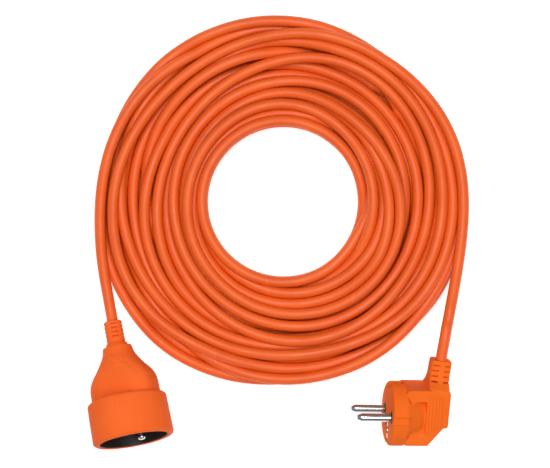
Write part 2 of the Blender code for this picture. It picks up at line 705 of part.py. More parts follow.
def handle_outline():
    """The handle seen along the pins' line, as (y, z) points: corner, lip and slope."""
    back = -HANDLE_DEPTH
    lower_back = back + HANDLE_BACK_LEAN
    front = -FLANGE_EDGE_RADIUS - 1 * MM
    corner = arc((HANDLE_TOP - HANDLE_CORNER_RADIUS, back + HANDLE_CORNER_RADIUS),
                 HANDLE_CORNER_RADIUS, 0, -90 * DEG, 3)
    return ([(HANDLE_TOP, front)] + corner
            + [(-HANDLE_LIP_DROP, lower_back),
               (-HANDLE_LIP_DROP, lower_back + HANDLE_LIP_THICKNESS),
               (-HANDLE_BOTTOM, -HANDLE_BOTTOM_DEPTH), (-HANDLE_BOTTOM, front)])


def plug_flange():
    radius = FLANGE_DIAMETER / 2
    edge = FLANGE_EDGE_RADIUS
    front = arc((radius - edge, -edge), edge, 90 * DEG, 0)
    return turned("plug_body", [(0, 0)] + front + [(radius, -FLANGE_DEPTH), (0, -FLANGE_DEPTH)])


def plug_handle():
    half = HANDLE_THICKNESS / 2
    handle = extruded("handle", handle_outline(), -half, half)
    bevel = handle.modifiers.new("edges", "BEVEL")
    bevel.width = HANDLE_EDGE_RADIUS
    bevel.segments = 2
    bevel.limit_method = "ANGLE"
    bevel.angle_limit = 60 * DEG
    return baked(handle)


def plug_relief():
    """Flat-sided strain relief that leans back from the top of the handle."""
    radius = PLUG_RELIEF_CORNER_RADIUS
    outline = []
    for quarter in range(4):
        sign_x = 1 if quarter in (0, 3) else -1
        sign_z = 1 if quarter in (0, 1) else -1
        centre = (sign_x * (PLUG_RELIEF_THICKNESS / 2 - radius),
                  sign_z * (PLUG_RELIEF_WIDTH / 2 - radius))
        outline += arc(centre, radius, quarter * 90 * DEG, (quarter + 1) * 90 * DEG, 3)
    bar = extruded("relief", outline, 0, RELIEF_REACH)
    for vert in bar.data.vertices:
        if vert.co.x > RELIEF_REACH / 2:
            vert.co.y *= PLUG_RELIEF_TAPER
            vert.co.z *= PLUG_RELIEF_TAPER
    stand = Matrix(((0, 1, 0), (1, 0, 0), (0, 0, -1))).to_4x4()
    return moved(bar, relief_matrix() @ stand)


def relief_matrix():
    """The strain relief's own frame: +Y along the cord, from inside the handle."""
    return Matrix.Translation(RELIEF_BASE) @ Matrix.Rotation(-PLUG_RELIEF_LEAN, 4, "X")


def flat_relief_slots():
    """Two columns of windows in each broad side of the plug's strain relief."""
    slots = []
    half = PLUG_RELIEF_THICKNESS / 2
    for row in range(relief_rows(PLUG_RELIEF_LENGTH)):
        y = RELIEF_REACH - RELIEF_FIRST_ROW - row * RELIEF_ROW_PITCH
        for side in (1, -1):
            for column in (1, -1):
                low = (half - RELIEF_SLOT_DEPTH, y - RELIEF_SLOT_HEIGHT / 2, 1.3 * MM)
                high = (half + 1 * MM, y + RELIEF_SLOT_HEIGHT / 2, PLUG_RELIEF_WIDTH / 2 + 1 * MM)
                slot = box("slot", low, high)
                mirror = Matrix.Diagonal((side, 1, column, 1))
                moved(slot, relief_matrix() @ mirror)
                if side * column < 0:
                    slot.data.flip_normals()
                slots.append(slot)
    return slots


def grip_ribs():
    """Upright ribs on both broad sides of the handle, shorter towards the back."""
    half = HANDLE_THICKNESS / 2
    ribs = []
    for side in (1, -1):
        for index in range(PLUG_RIB_COUNT):
            z = -PLUG_RIB_FIRST_DEPTH - index * PLUG_RIB_PITCH
            top = PLUG_RIB_CENTRE + PLUG_RIB_LENGTH / 2
            bottom = PLUG_RIB_CENTRE - PLUG_RIB_LENGTH / 2 + index * PLUG_RIB_STEP
            low, high = sorted((side * (half - 1 * MM), side * (half + PLUG_RIB_HEIGHT)))
            ribs.append(box("rib", (low, bottom, z - PLUG_RIB_WIDTH / 2),
                            (high, top, z + PLUG_RIB_WIDTH / 2)))
    return ribs


def finger_scoops():
    """Hollows for finger and thumb, between the flange and the ribs."""
    half = HANDLE_THICKNESS / 2
    scoops = []
    for side in (1, -1):
        scoop = cylinder("scoop", SCOOP_RADIUS, -SCOOP_LENGTH / 2, SCOOP_LENGTH / 2, sides=32)
        lie = Matrix.Rotation(90 * DEG, 4, "X")
        place = Matrix.Translation((side * (half + SCOOP_RADIUS - SCOOP_DEPTH), 0, -SCOOP_CENTRE_DEPTH))
        scoops.append(moved(scoop, place @ lie))
    return scoops


def earth_window(name, half_width, half_length, back, front):
    """Round-ended slot shape over the plug's earth hole, lengthwise along Y."""
    middle = -EARTH_OFFSET
    straight = half_length - half_width
    body = box(name, (-half_width, middle - straight, back), (half_width, middle + straight, front))
    ends = [cylinder("end", half_width, back, front, (0, middle + sign * straight))
            for sign in (1, -1)]
    return joined(body, *ends)


def make_plug_body(material, parent):
    """Orange outer moulding: face, flange, handle and strain relief in one."""
    body = joined(plug_flange(), plug_handle(), plug_relief(), *grip_ribs())
    body = cut(body, *finger_scoops(), *flat_relief_slots())
    bridge_room = cylinder("bridge_room", BRIDGE_RADIUS + SEAT_GAP, STRIP_WEB_FRONT, -FACE_THICKNESS,
                           sides=SHELL_SIDES)
    core_room = box("core_room", (-CORE_ROOM_HALF_WIDTH, -CORE_ROOM_BOTTOM, -CORE_ROOM_END),
                    (CORE_ROOM_HALF_WIDTH, CORE_ROOM_TOP, STRIP_WEB_FRONT + 0.5 * MM))
    collar = PIN_COLLAR_RADIUS + SEAT_GAP
    pin_holes = [cylinder("pin_hole", collar, -FACE_THICKNESS - 1 * MM, 1 * MM, place)
                 for place in CONTACT_PLACES]
    window = earth_window("window", EARTH_WINDOW_WIDTH / 2, EARTH_WINDOW_LENGTH / 2,
                          -FACE_THICKNESS - 1 * MM, 1 * MM)
    groove_floor = STRIP_OUTER - STRIP_THICKNESS - SEAT_GAP
    half_groove = STRIP_WIDTH / 2 + SEAT_GAP
    grooves = []
    for side in (1, -1):
        low, high = sorted((side * groove_floor, side * (FLANGE_DIAMETER / 2 + 1 * MM)))
        grooves.append(box("groove", (-half_groove, low, -FLANGE_DEPTH + 1 * MM),
                           (half_groove, high, 1 * MM)))
    reach = STRIP_OUTER + SEAT_GAP
    web_room = box("web_room", (-half_groove, -reach, STRIP_WEB_BACK - SEAT_GAP),
                   (half_groove, reach, STRIP_WEB_FRONT + SEAT_GAP))
    leg_rooms = []
    for side in (1, -1):
        low, high = sorted((side * groove_floor, side * reach))
        leg_rooms.append(box("leg_room", (-half_groove, low, STRIP_WEB_BACK - SEAT_GAP),
                             (half_groove, high, -FLANGE_DEPTH + 2 * MM)))
    start = relief_matrix() @ Vector((0, -5 * MM, 0))
    bore = cylinder("bore", SHEATH_BORE, 0, PLUG_RELIEF_LENGTH + 12 * MM)
    lie = Matrix.Rotation(-90 * DEG, 4, "X")
    moved(bore, Matrix.Translation(start) @ Matrix.Rotation(-PLUG_RELIEF_LEAN, 4, "X") @ lie)
    body = cut(body, bridge_room, core_room, *pin_holes, window, *grooves, web_room, *leg_rooms, bore)
    return finished(body, material, parent)


def make_plug_bridge(material, parent):
    """Black carrier behind the face, whose collars ring the pins."""
    bridge = cylinder("plug_bridge", BRIDGE_RADIUS, BRIDGE_BACK, BRIDGE_FRONT, sides=SHELL_SIDES)
    collars = [cylinder("collar", PIN_COLLAR_RADIUS, BRIDGE_FRONT - 0.5 * MM, PIN_COLLAR_STAND, place)
               for place in CONTACT_PLACES]
    bridge = joined(bridge, *collars)
    pin_bore = PIN_DIAMETER / 2 + SEAT_GAP
    bores = [cylinder("bore", pin_bore, BRIDGE_BACK - 1 * MM, PIN_COLLAR_STAND + 1 * MM, place)
             for place in CONTACT_PLACES]
    sleeve = PIN_DIAMETER / 2 + EARTH_SLEEVE_WALL + SEAT_GAP
    earth = cylinder("earth", sleeve, BRIDGE_BACK - 1 * MM, BRIDGE_FRONT + 1 * MM, EARTH_PLACE)
    bridge = cut(bridge, *bores, earth)
    return finished(bridge, material, parent)


def make_pin(name, place, material, parent):
    """Round-nosed pin with a thinner crimp behind the bridge."""
    radius = PIN_DIAMETER / 2
    nose = arc((radius - 1.9 * MM, PIN_LENGTH - 1.9 * MM), 1.9 * MM, 90 * DEG, 0)
    crimp = CRIMP_DIAMETER / 2
    pin = turned(name, [(0, PIN_LENGTH)] + nose + [(radius, BRIDGE_BACK), (crimp, BRIDGE_BACK),
                                                   (crimp, PLUG_CRIMP_BACK), (0, PLUG_CRIMP_BACK)],
                 sides=SMALL_SIDES)
    moved(pin, Matrix.Translation((*place, 0)))
    return finished(pin, material, parent)


def make_earth_contact(material, parent):
    """Plate in the face's window with the sleeve that takes a socket's earth pin."""
    front = -EARTH_PLATE_RECESS
    back = front - EARTH_PLATE_THICKNESS
    plate = earth_window("earth_contact", EARTH_WINDOW_WIDTH / 2 - EARTH_PLATE_SIDE_GAP,
                         EARTH_WINDOW_LENGTH / 2 - EARTH_PLATE_END_GAP, back, front)
    outer = PIN_DIAMETER / 2 + EARTH_SLEEVE_WALL
    inner = PIN_DIAMETER / 2 + EARTH_SLEEVE_SLACK
    sleeve = cylinder("sleeve", outer, -EARTH_SLEEVE_LENGTH, back + 0.3 * MM, EARTH_PLACE)
    bore = cylinder("bore", inner, -EARTH_SLEEVE_LENGTH - 1 * MM, 1 * MM, EARTH_PLACE)
    contact = cut(joined(plate, sleeve), bore)
    return finished(contact, material, parent)


def make_earth_strip(material, parent):
    """U-shaped strip: a side contact in each groove and the web behind the bridge."""
    half = STRIP_WIDTH / 2
    strip = box("earth_strip", (-half, -STRIP_OUTER, STRIP_WEB_BACK), (half, STRIP_OUTER, STRIP_WEB_FRONT))
    for side in (1, -1):
        low, high = sorted((side * STRIP_OUTER, side * (STRIP_OUTER - STRIP_THICKNESS)))
        leg = box("leg", (-half, low, STRIP_WEB_FRONT - 0.2 * MM), (half, high, -STRIP_LEG_FRONT))
        strip = joined(strip, leg)
    crimp = cylinder("crimp", CRIMP_DIAMETER / 2, STRIP_WEB_BACK - CRIMP_LENGTH, STRIP_WEB_BACK + 0.3 * MM)
    strip = joined(strip, crimp)
    return finished(strip, material, parent)


def plug_core_points(start, back, index):
    """From the back of a crimp, round inside the handle, to the cut end of the sheath."""
    turn = relief_matrix()
    place = core_place(index)
    end = turn @ Vector((place.x, -0.6 * MM, place.y))
    before = turn @ Vector((place.x, -2.1 * MM, place.y))
    bend = turn @ Vector((place.x, -5.0 * MM, place.y))
    first = Vector((*start, back - SEAT_GAP))
    stub = first + Vector((0, 0, -1.5 * MM))
    return [first, stub, first + Vector((0, 0, -3.5 * MM)), bend, before, end]


# =====================================================================================
# The cord
# =====================================================================================

COIL_PITCH = (CORD_DIAMETER + STRAND_GAP) / math.cos(math.pi / POINTS_PER_TURN)
LAYER_HEIGHT = CORD_DIAMETER + STRAND_GAP
LAYER_TURNS = (COIL_TURNS - 0.5) / 2


def coil_point(turns):
    """The centre of the cord after so many turns from the socket's side.

    The lower layer spirals in at a steady rate, the cord climbs in the half turn
    where the spiral reverses, and the upper layer spirals out again.
    """
    reversal = LAYER_TURNS + 0.25
    radius = COIL_OUTER_RADIUS - COIL_PITCH * (reversal - abs(turns - reversal))
    climb = min(max((turns - LAYER_TURNS) / 0.5, 0), 1)
    height = CORD_DIAMETER / 2 + LAYER_HEIGHT * climb
    angle = COIL_START_ANGLE - 2 * math.pi * turns
    return Vector((radius * math.cos(angle), radius * math.sin(angle), height))


def coil_heading(turns):
    """The cord's level direction there, square to the coil's radius."""
    angle = COIL_START_ANGLE - 2 * math.pi * turns
    return Vector((math.sin(angle), -math.cos(angle), 0))


def coil_points():
    count = round(COIL_TURNS * POINTS_PER_TURN)
    points = [coil_point(COIL_TURNS * step / count) for step in range(1, count)]
    first_heading = coil_heading(0)
    last_heading = coil_heading(COIL_TURNS)
    first = coil_point(0) + first_heading * (SEAT_GAP / 2)
    last = coil_point(COIL_TURNS) - last_heading * (SEAT_GAP / 2)
    return ([first, first + first_heading * CORD_DIAMETER] + points
            + [last - last_heading * CORD_DIAMETER, last])


def least_self_gap(points):
    """Least gap between stretches of the coil that aren't neighbours along it."""
    line = np.array([tuple(point) for point in points])
    starts = line[:-1]
    steps = line[1:] - line[:-1]
    least = 1.0
    apart = POINTS_PER_TURN // 2
    for index in range(len(line)):
        offset = line[index] - starts
        along = np.clip((offset * steps).sum(axis=1) / (steps * steps).sum(axis=1), 0, 1)
        distance = np.linalg.norm(offset - along[:, None] * steps, axis=1)
        far = np.abs(np.arange(len(starts)) - index) > apart
        least = min(least, distance[far].min())
    return least - CORD_DIAMETER


def make_coil(material):
    points = coil_points()
    coil = tube("cord_coil", points, CORD_DIAMETER / 2, resolution=1)
    length = sum((second - first).length for first, second in zip(points, points[1:]))
    print(f"coil: {COIL_TURNS:.2f} turns, {length:.3f} m, least gap to itself "
          f"{least_self_gap(points) / MM:.2f} mm")
    return finished(coil, material)


def make_socket_lead(socket, material):
    """From inside the socket's strain relief, down to the floor, to the coil's foot."""
    inside = socket @ Vector((0, 0, SOCKET_SHEATH_END))
    exit_point = socket @ Vector((0, 0, -SOCKET_LENGTH))
    heading = coil_heading(0)
    end = coil_point(0) - heading * (SEAT_GAP / 2)
    route = [inside, exit_point,
             socket @ Vector((0, 0, -SOCKET_LENGTH - CORD_DIAMETER)),
             Vector((-101.4, -57.0, 6.7)) * MM,
             Vector((-103.1, -47.0, 4.6)) * MM,
             Vector((-104.8, -33.0, 3.4)) * MM,
             end - heading * CORD_DIAMETER, end]
    lead = tube("socket_lead", smooth_route(route, 2.2 * CORD_DIAMETER), CORD_DIAMETER / 2)
    return finished(lead, material)


def make_plug_lead(plug, material):
    """From the top of the coil, over its edge, into the plug's strain relief."""
    inside = plug @ (relief_matrix() @ Vector((0, 0, 0)))
    exit_point = plug @ (relief_matrix() @ Vector((0, RELIEF_REACH, 0)))
    outside = plug @ (relief_matrix() @ Vector((0, RELIEF_REACH + CORD_DIAMETER, 0)))
    heading = coil_heading(COIL_TURNS)
    start = coil_point(COIL_TURNS) + heading * (SEAT_GAP / 2)
    route = [start, start + heading * CORD_DIAMETER,
             Vector((102.6, -38.0, 10.6)) * MM,
             Vector((98.8, -57.9, 14.6)) * MM,
             Vector((95.6, -73.6, 19.9)) * MM,
             outside, exit_point, inside]
    lead = tube("plug_lead", smooth_route(route, 2.2 * CORD_DIAMETER), CORD_DIAMETER / 2)
    return finished(lead, material)


# =====================================================================================
# The assembly
# =====================================================================================

def make_materials():
    return {
        "orange": add_material("orange_pvc", (0.92, 0.16, 0.035), 0.45),
        "cord": add_material("cord_sheath", (0.93, 0.17, 0.04), 0.42),
        "black": add_material("black_plastic", (0.012, 0.011, 0.012), 0.5),
        "nickel": add_material("nickel_plated", (0.62, 0.60, 0.58), 0.22, 1.0),
        "brass": add_material("brass", (0.72, 0.50, 0.20), 0.3, 1.0),
        "steel": add_material("spring_steel", (0.5, 0.5, 0.5), 0.3, 1.0),
        "white": add_material("white_plastic", (0.8, 0.8, 0.78), 0.5),
        "brown": add_material("core_brown", (0.14, 0.045, 0.015), 0.5),
        "blue": add_material("core_blue", (0.02, 0.1, 0.5), 0.5),
        "green": add_material("core_green_yellow", (0.15, 0.45, 0.03), 0.5),
    }


def make_socket(paint, parent):
    make_socket_body(paint["orange"], parent)
    make_socket_insert(paint["black"], parent)
    make_contact_carrier(paint["black"], parent)
    make_contact("live_contact", CONTACT_PLACES[0], paint["brass"], parent)
    make_contact("neutral_contact", CONTACT_PLACES[1], paint["brass"], parent)
    make_earth_pin(paint["nickel"], parent)
    make_shutter(paint["white"], parent)
    make_shutter_spring(paint["steel"], parent)
    make_core("socket_live_core", socket_core_points(CONTACT_PLACES[0], 2), paint["brown"], parent)
    make_core("socket_neutral_core", socket_core_points(CONTACT_PLACES[1], 0), paint["blue"], parent)
    make_core("socket_earth_core", socket_core_points(EARTH_CRIMP_PLACE, 1), paint["green"], parent)


def make_plug(paint, parent):
    make_plug_body(paint["orange"], parent)
    make_plug_bridge(paint["black"], parent)
    make_pin("upper_pin", CONTACT_PLACES[0], paint["nickel"], parent)
    make_pin("lower_pin", CONTACT_PLACES[1], paint["nickel"], parent)
    make_earth_contact(paint["nickel"], parent)
    make_earth_strip(paint["nickel"], parent)
    make_core("plug_upper_core", plug_core_points(CONTACT_PLACES[0], PLUG_CRIMP_BACK, 2),
              paint["brown"], parent)
    make_core("plug_lower_core", plug_core_points(CONTACT_PLACES[1], PLUG_CRIMP_BACK, 0),
              paint["blue"], parent)
    make_core("plug_earth_core", plug_core_points((0, 0), STRIP_WEB_BACK - CRIMP_LENGTH, 1),
              paint["green"], parent)


def centre_on_connectors(roots):
    """Move everything so that the origin is under the middle of the two connectors."""
    bpy.context.view_layer.update()
    shells = [child for root in roots for child in root.children if child.type == "MESH"]
    points = [shell.matrix_world @ vert.co for shell in shells for vert in shell.data.vertices]
    middle = Vector()
    for axis in range(2):
        values = [point[axis] for point in points]
        middle[axis] = (min(values) + max(values)) / 2
    for obj in bpy.data.objects:
        if obj.parent is None:
            obj.matrix_world = Matrix.Translation(-middle) @ obj.matrix_world
    print("coil centre at", [round(-value, 6) for value in middle])


def main():
    clear_scene()
    paint = make_materials()
    socket = frame_empty("socket_frame", socket_matrix())
    plug = frame_empty("plug_frame", plug_matrix())
    bpy.context.view_layer.update()
    make_coil(paint["cord"])
    make_socket_lead(socket.matrix_world, paint["cord"])
    make_plug_lead(plug.matrix_world, paint["cord"])
    make_socket(paint, socket)
    make_plug(paint, plug)
    centre_on_connectors([socket, plug])


main()
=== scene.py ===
"""Dress an orange extension cord: its cord laid out turn by turn, its socket and plug."""
import math

import bmesh
import bpy
import numpy as np
from mathutils import Matrix, Vector


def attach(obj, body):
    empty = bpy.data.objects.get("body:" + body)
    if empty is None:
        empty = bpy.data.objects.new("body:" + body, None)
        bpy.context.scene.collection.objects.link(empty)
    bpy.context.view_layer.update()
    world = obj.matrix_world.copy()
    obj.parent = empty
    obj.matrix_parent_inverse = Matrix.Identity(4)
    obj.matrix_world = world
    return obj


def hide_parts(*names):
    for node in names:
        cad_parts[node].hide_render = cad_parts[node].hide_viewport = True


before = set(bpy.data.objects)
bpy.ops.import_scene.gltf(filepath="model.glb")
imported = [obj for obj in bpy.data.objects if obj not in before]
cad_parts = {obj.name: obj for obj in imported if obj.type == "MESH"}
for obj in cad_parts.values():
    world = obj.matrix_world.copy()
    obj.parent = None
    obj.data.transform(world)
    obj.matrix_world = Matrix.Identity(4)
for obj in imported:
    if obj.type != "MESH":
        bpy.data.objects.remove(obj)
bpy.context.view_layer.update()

MM = 0.001
DEG = math.pi / 180

# The cord, and the ring that it is laid in.
CORD_DIAMETER = 6.4 * MM
POINT_SPACING = 4 * MM
RING_CENTRE = Vector((7.384, 106.738)) * MM
RING_REACH = 114 * MM
LAYER_HEIGHT = 5.4 * MM
LAYERS_APART = 2.2  # how far the layers are pulled apart before they sink
SHOWN_FROM = 0.45  # a strand on a higher layer than this is one that shows

# How the cord settles.
STEPS, FAST_STEPS, EASING_STEPS = 500, 200, 90
FAST_SINK, SLOW_SINK, EASING_SINK = 0.12 * MM, 0.08 * MM, 0.02 * MM
PAIRS_RENEWED = 12  # steps between two searches for strands that are near
SPANS_APART = 5  # spans along the cord that are too near to touch
SPANS_PER_BIN, BINS_AROUND = 5, 3  # how finely it is told which strand is the upper one
HELD_SHOWN, HELD_HIDDEN, HELD_EASING = 0.12, 0.01, 0.3
DRIFT, STIFFNESS, LIFT, STRIDES = 0.5, 0.25, 0.6, (1, 2, 4)
FIXED_AT_SOCKET, FIXED_AT_PLUG = 4, 9
LEAD_POINTS = 50  # points at each end that the ring's rims don't hold

# The socket's and the plug's frames, as the solids have them: Z looks out of the mouth or face.
SOCKET_PLACE = Vector((-78.4163, -31.1621, 28.1766)) * MM
SOCKET_YAW, SOCKET_TILT, SOCKET_ROLL = 11.1 * DEG, 13.5 * DEG, 25 * DEG
PLUG_PLACE = Vector((68.5837, -16.6621, 20.5721)) * MM
PLUG_YAW, PLUG_TILT, PLUG_ROLL = -1.2 * DEG, 9.5 * DEG, 12 * DEG

# The cord's way through the ring, read off the photograph strand by strand, one group to a
# turn: how far round clockwise in degrees, how far in from the ring's reach in sixteenths of
# a mm, and on which layer, in tenths. Where a strand is covered its way is a guess.
ROUTE = (
    ((157, 22, 19), (160, 47, 18), (165, 84, 16), (170, 104, 16), (180, 122, 16), (190, 137, 16),
     (200, 150, 12), (210, 158, 11), (220, 160, 11), (230, 160, 11), (240, 164, 11),
     (250, 175, 11), (260, 190, 10), (270, 203, 6), (280, 204, 1), (320, 190, 0)),
    ((0, 165, 0), (40, 140, 0), (70, 130, 2), (90, 125, 6), (100, 100, 10), (110, 70, 12),
     (120, 60, 12), (130, 60, 12), (140, 58, 12), (150, 60, 11), (160, 78, 7), (170, 102, 4),
     (180, 128, 3), (190, 136, 4), (200, 133, 8), (210, 120, 10), (220, 106, 11), (230, 98, 11),
     (240, 98, 11), (250, 110, 11), (260, 125, 11), (270, 140, 11), (280, 160, 10), (290, 180, 8),
     (300, 202, 5), (310, 218, 3), (320, 230, 2), (330, 236, 2), (340, 226, 5), (350, 217, 9)),
    ((0, 219, 13), (10, 220, 15), (20, 224, 17), (30, 236, 19), (40, 261, 20), (50, 298, 20),
     (60, 337, 20), (70, 360, 20), (80, 374, 20), (90, 382, 19), (100, 372, 16), (120, 350, 14),
     (140, 343, 13), (160, 330, 12), (170, 326, 11), (180, 316, 9), (190, 300, 5), (200, 277, 4),
     (210, 254, 7), (220, 240, 9), (230, 240, 10), (240, 245, 10), (250, 240, 9), (260, 226, 7),
     (270, 210, 4), (280, 198, 2), (300, 186, 1), (320, 172, 1), (340, 160, 1)),
    ((0, 156, 2), (20, 165, 5), (30, 174, 7), (40, 180, 9), (50, 166, 16), (60, 140, 18),
     (70, 131, 16), (80, 146, 14), (90, 160, 13), (100, 160, 13), (110, 180, 12), (120, 216, 9),
     (130, 246, 4), (160, 268, 1), (200, 300, 0), (240, 322, 0), (280, 345, 0), (320, 352, 0)),
    ((0, 362, 0), (40, 380, 0), (80, 390, 0), (110, 396, 3), (140, 400, 7), (150, 410, 9),
     (160, 420, 10), (170, 427, 10), (180, 428, 11), (190, 408, 11), (200, 385, 9), (210, 372, 4),
     (220, 378, 2), (240, 388, 1), (260, 376, 2), (270, 355, 4), (280, 335, 8), (290, 316, 10),
     (300, 301, 10), (320, 291, 11), (340, 312, 11), (350, 320, 11)),
    ((0, 322, 11), (20, 327, 10), (30, 335, 9), (40, 352, 8), (50, 378, 4), (60, 398, 2),
     (80, 428, 3), (90, 442, 6), (100, 452, 9), (110, 458, 11), (120, 450, 11), (130, 452, 11),
     (140, 470, 11), (160, 495, 11), (180, 528, 11), (200, 560, 11), (210, 565, 11),
     (220, 562, 11), (230, 550, 10), (240, 534, 8), (250, 518, 4), (260, 530, 2), (270, 552, 2),
     (280, 564, 4), (290, 546, 9), (300, 527, 11), (320, 525, 12), (340, 533, 12)),
    ((0, 548, 13), (20, 550, 13), (40, 560, 13), (60, 582, 13), (80, 630, 12), (100, 680, 12),
     (120, 732, 11), (140, 772, 11), (160, 803, 11), (180, 815, 11), (200, 800, 11),
     (220, 780, 11), (240, 760, 11), (260, 735, 11), (270, 708, 11), (280, 678, 12),
     (290, 653, 12), (300, 645, 12), (320, 650, 11), (340, 660, 10), (350, 668, 6)),
    ((0, 650, 4), (20, 630, 3), (40, 632, 0), (80, 700, 0), (120, 790, 0), (160, 860, 0),
     (190, 890, 3), (200, 882, 8), (220, 868, 10), (240, 842, 10), (250, 822, 11), (260, 800, 11),
     (270, 783, 12), (280, 783, 13), (290, 807, 13), (300, 830, 13), (310, 838, 13),
     (320, 836, 13), (330, 820, 14), (340, 782, 16), (350, 747, 17)),
    ((0, 718, 16), (10, 705, 14), (20, 690, 12), (30, 681, 12), (40, 681, 12), (50, 688, 12),
     (60, 700, 12), (70, 720, 12), (80, 750, 12), (100, 798, 12), (120, 843, 12), (140, 882, 12),
     (160, 912, 12), (180, 937, 11), (200, 957, 11), (220, 955, 11), (240, 935, 11),
     (250, 915, 11), (260, 898, 11), (270, 893, 11), (280, 905, 11), (290, 925, 11),
     (300, 943, 11), (320, 956, 10), (340, 962, 9)),
    ((0, 965, 7), (20, 967, 6), (40, 957, 2), (80, 960, 0), (120, 985, 0), (160, 965, 0),
     (200, 930, 0), (240, 880, 0), (280, 862, 0), (320, 868, 3), (330, 868, 5), (340, 860, 7),
     (350, 854, 9)),
    ((0, 842, 11), (20, 806, 11), (40, 796, 11), (60, 808, 11), (80, 838, 10), (100, 873, 8),
     (120, 905, 8), (140, 935, 7), (160, 957, 7), (180, 978, 6), (200, 1005, 6), (220, 1022, 7),
     (240, 1010, 7), (260, 992, 7), (280, 985, 7), (290, 992, 5), (300, 1000, 3), (320, 985, 1),
     (340, 955, 1)),
    ((0, 920, 2), (20, 897, 8), (40, 910, 10), (60, 914, 10), (80, 933, 10), (100, 962, 9),
     (120, 988, 6), (140, 1005, 3), (180, 1025, 0), (220, 1035, 0), (260, 1020, 0), (300, 1015, 1),
     (340, 1012, 2)),
    ((0, 1018, 6), (20, 1037, 9), (40, 1050, 11), (60, 1055, 11), (80, 1063, 11), (100, 1062, 11),
     (120, 1058, 11), (140, 1062, 11), (160, 1068, 11), (180, 1078, 11), (200, 1085, 11),
     (220, 1082, 11), (240, 1072, 11), (260, 1053, 11), (270, 1048, 11), (280, 1055, 11),
     (290, 1070, 10), (300, 1084, 9), (320, 1088, 9), (340, 1085, 9)),
    ((0, 1080, 8), (20, 1090, 5), (40, 1095, 1), (80, 1090, 0), (120, 1100, 0), (160, 1090, 0),
     (200, 1085, 0), (240, 1088, 0), (270, 1082, 1), (300, 1040, 0), (340, 990, 0)),
    ((0, 960, 0), (60, 930, 0), (120, 900, 0), (180, 850, 0), (240, 790, 0), (300, 745, 0),
     (330, 735, 0)),
    ((0, 700, 0), (60, 630, 0), (120, 600, 0), (160, 592, 0), (175, 575, 0), (185, 540, 1),
     (200, 472, 4), (210, 464, 8), (220, 463, 10), (230, 455, 11), (240, 440, 11), (250, 426, 11),
     (260, 415, 10), (270, 402, 7), (280, 388, 4), (300, 368, 1), (320, 352, 1), (340, 344, 2)),
    ((0, 350, 5), (20, 375, 7), (30, 385, 8), (40, 374, 7), (50, 358, 3), (60, 382, 1),
     (80, 440, 1), (100, 500, 2), (110, 525, 5), (120, 545, 8), (130, 561, 10), (140, 585, 11),
     (160, 622, 11), (180, 652, 11), (200, 678, 11), (210, 680, 12), (220, 670, 13),
     (230, 650, 14), (240, 622, 16), (250, 588, 18), (260, 545, 19), (270, 498, 19),
     (280, 450, 17), (290, 416, 15), (300, 399, 13), (310, 391, 12), (320, 397, 11),
     (330, 408, 10), (340, 420, 8), (350, 432, 4)),
    ((0, 448, 2), (10, 463, 3), (20, 476, 7), (30, 472, 11), (40, 462, 13), (50, 458, 13),
     (60, 456, 13), (70, 465, 13), (80, 485, 13), (90, 512, 13), (100, 545, 12), (110, 580, 11),
     (120, 608, 11), (130, 632, 10), (140, 655, 8), (150, 680, 5), (160, 703, 5), (170, 716, 4),
     (180, 724, 2), (200, 728, 1), (220, 718, 1), (230, 706, 3), (240, 688, 6), (250, 660, 8),
     (260, 628, 7), (270, 600, 4), (280, 570, 1), (300, 565, 0), (320, 563, 0), (340, 562, 0)),
    ((0, 555, 0), (30, 500, 0), (60, 420, 0), (90, 290, 0), (110, 190, 0), (120, 165, 1),
     (140, 160, 1), (160, 170, 0), (180, 190, 0), (240, 190, 0), (300, 160, 0)),
    ((0, 118, 1), (20, 112, 2), (30, 128, 7), (40, 155, 9), (50, 190, 9), (60, 222, 10),
     (70, 236, 11), (80, 252, 11), (90, 270, 11), (100, 275, 11), (110, 270, 12), (120, 258, 14),
     (130, 232, 15), (140, 200, 15), (150, 187, 15), (160, 200, 14), (170, 228, 14),
     (180, 254, 14), (190, 267, 15), (200, 290, 16), (210, 320, 17), (220, 338, 17),
     (230, 340, 16), (240, 335, 16), (250, 325, 15), (260, 310, 16), (270, 278, 17),
     (280, 246, 18), (290, 228, 19), (300, 211, 19), (310, 196, 18), (320, 178, 17),
     (330, 150, 16), (340, 130, 16), (350, 124, 18)),
    ((0, 132, 20), (10, 120, 21), (20, 90, 21), (26, 38, 24), (30, 4, 26)),
)

# The ring's rims, as tenths of a degree round and mm from the centre.
INNER_RIM = ((0, 47.7), (600, 48), (1100, 47.2), (1800, 46.7), (2300, 46.2), (2700, 46.5),
             (3100, 47.2), (3600, 47.7))
OUTER_RIM = ((0, 105.8), (200, 105.5), (500, 104.8), (900, 104.4), (1050, 106.5), (1300, 109.3),
             (1600, 107.5), (1800, 106.3), (2000, 104.3), (2300, 106.3), (2600, 105.5),
             (2800, 104), (3060, 100.5), (3300, 104.5), (3430, 105.8), (3600, 105.8))

# The two leads between the ring and the strain reliefs, in mm.
SOCKET_LEAD = ((-91.6, 36.1, 11.7), (-92.3, 40.0, 10.5), (-94.1, 48.7, 9.3), (-95.2, 56.0, 9.5))
PLUG_LEAD = ((106.0, 48.9, 16.5), (104.4, 40.5, 21.0), (102.5, 32.5, 25.0), (101.6, 27.0, 24.8),
             (101.0, 23.5, 24.1), (100.3, 19.5, 23.3), (99.4, 13.9, 22.25), (98.4, 7.9, 21.1))


# --- The cord's route ---

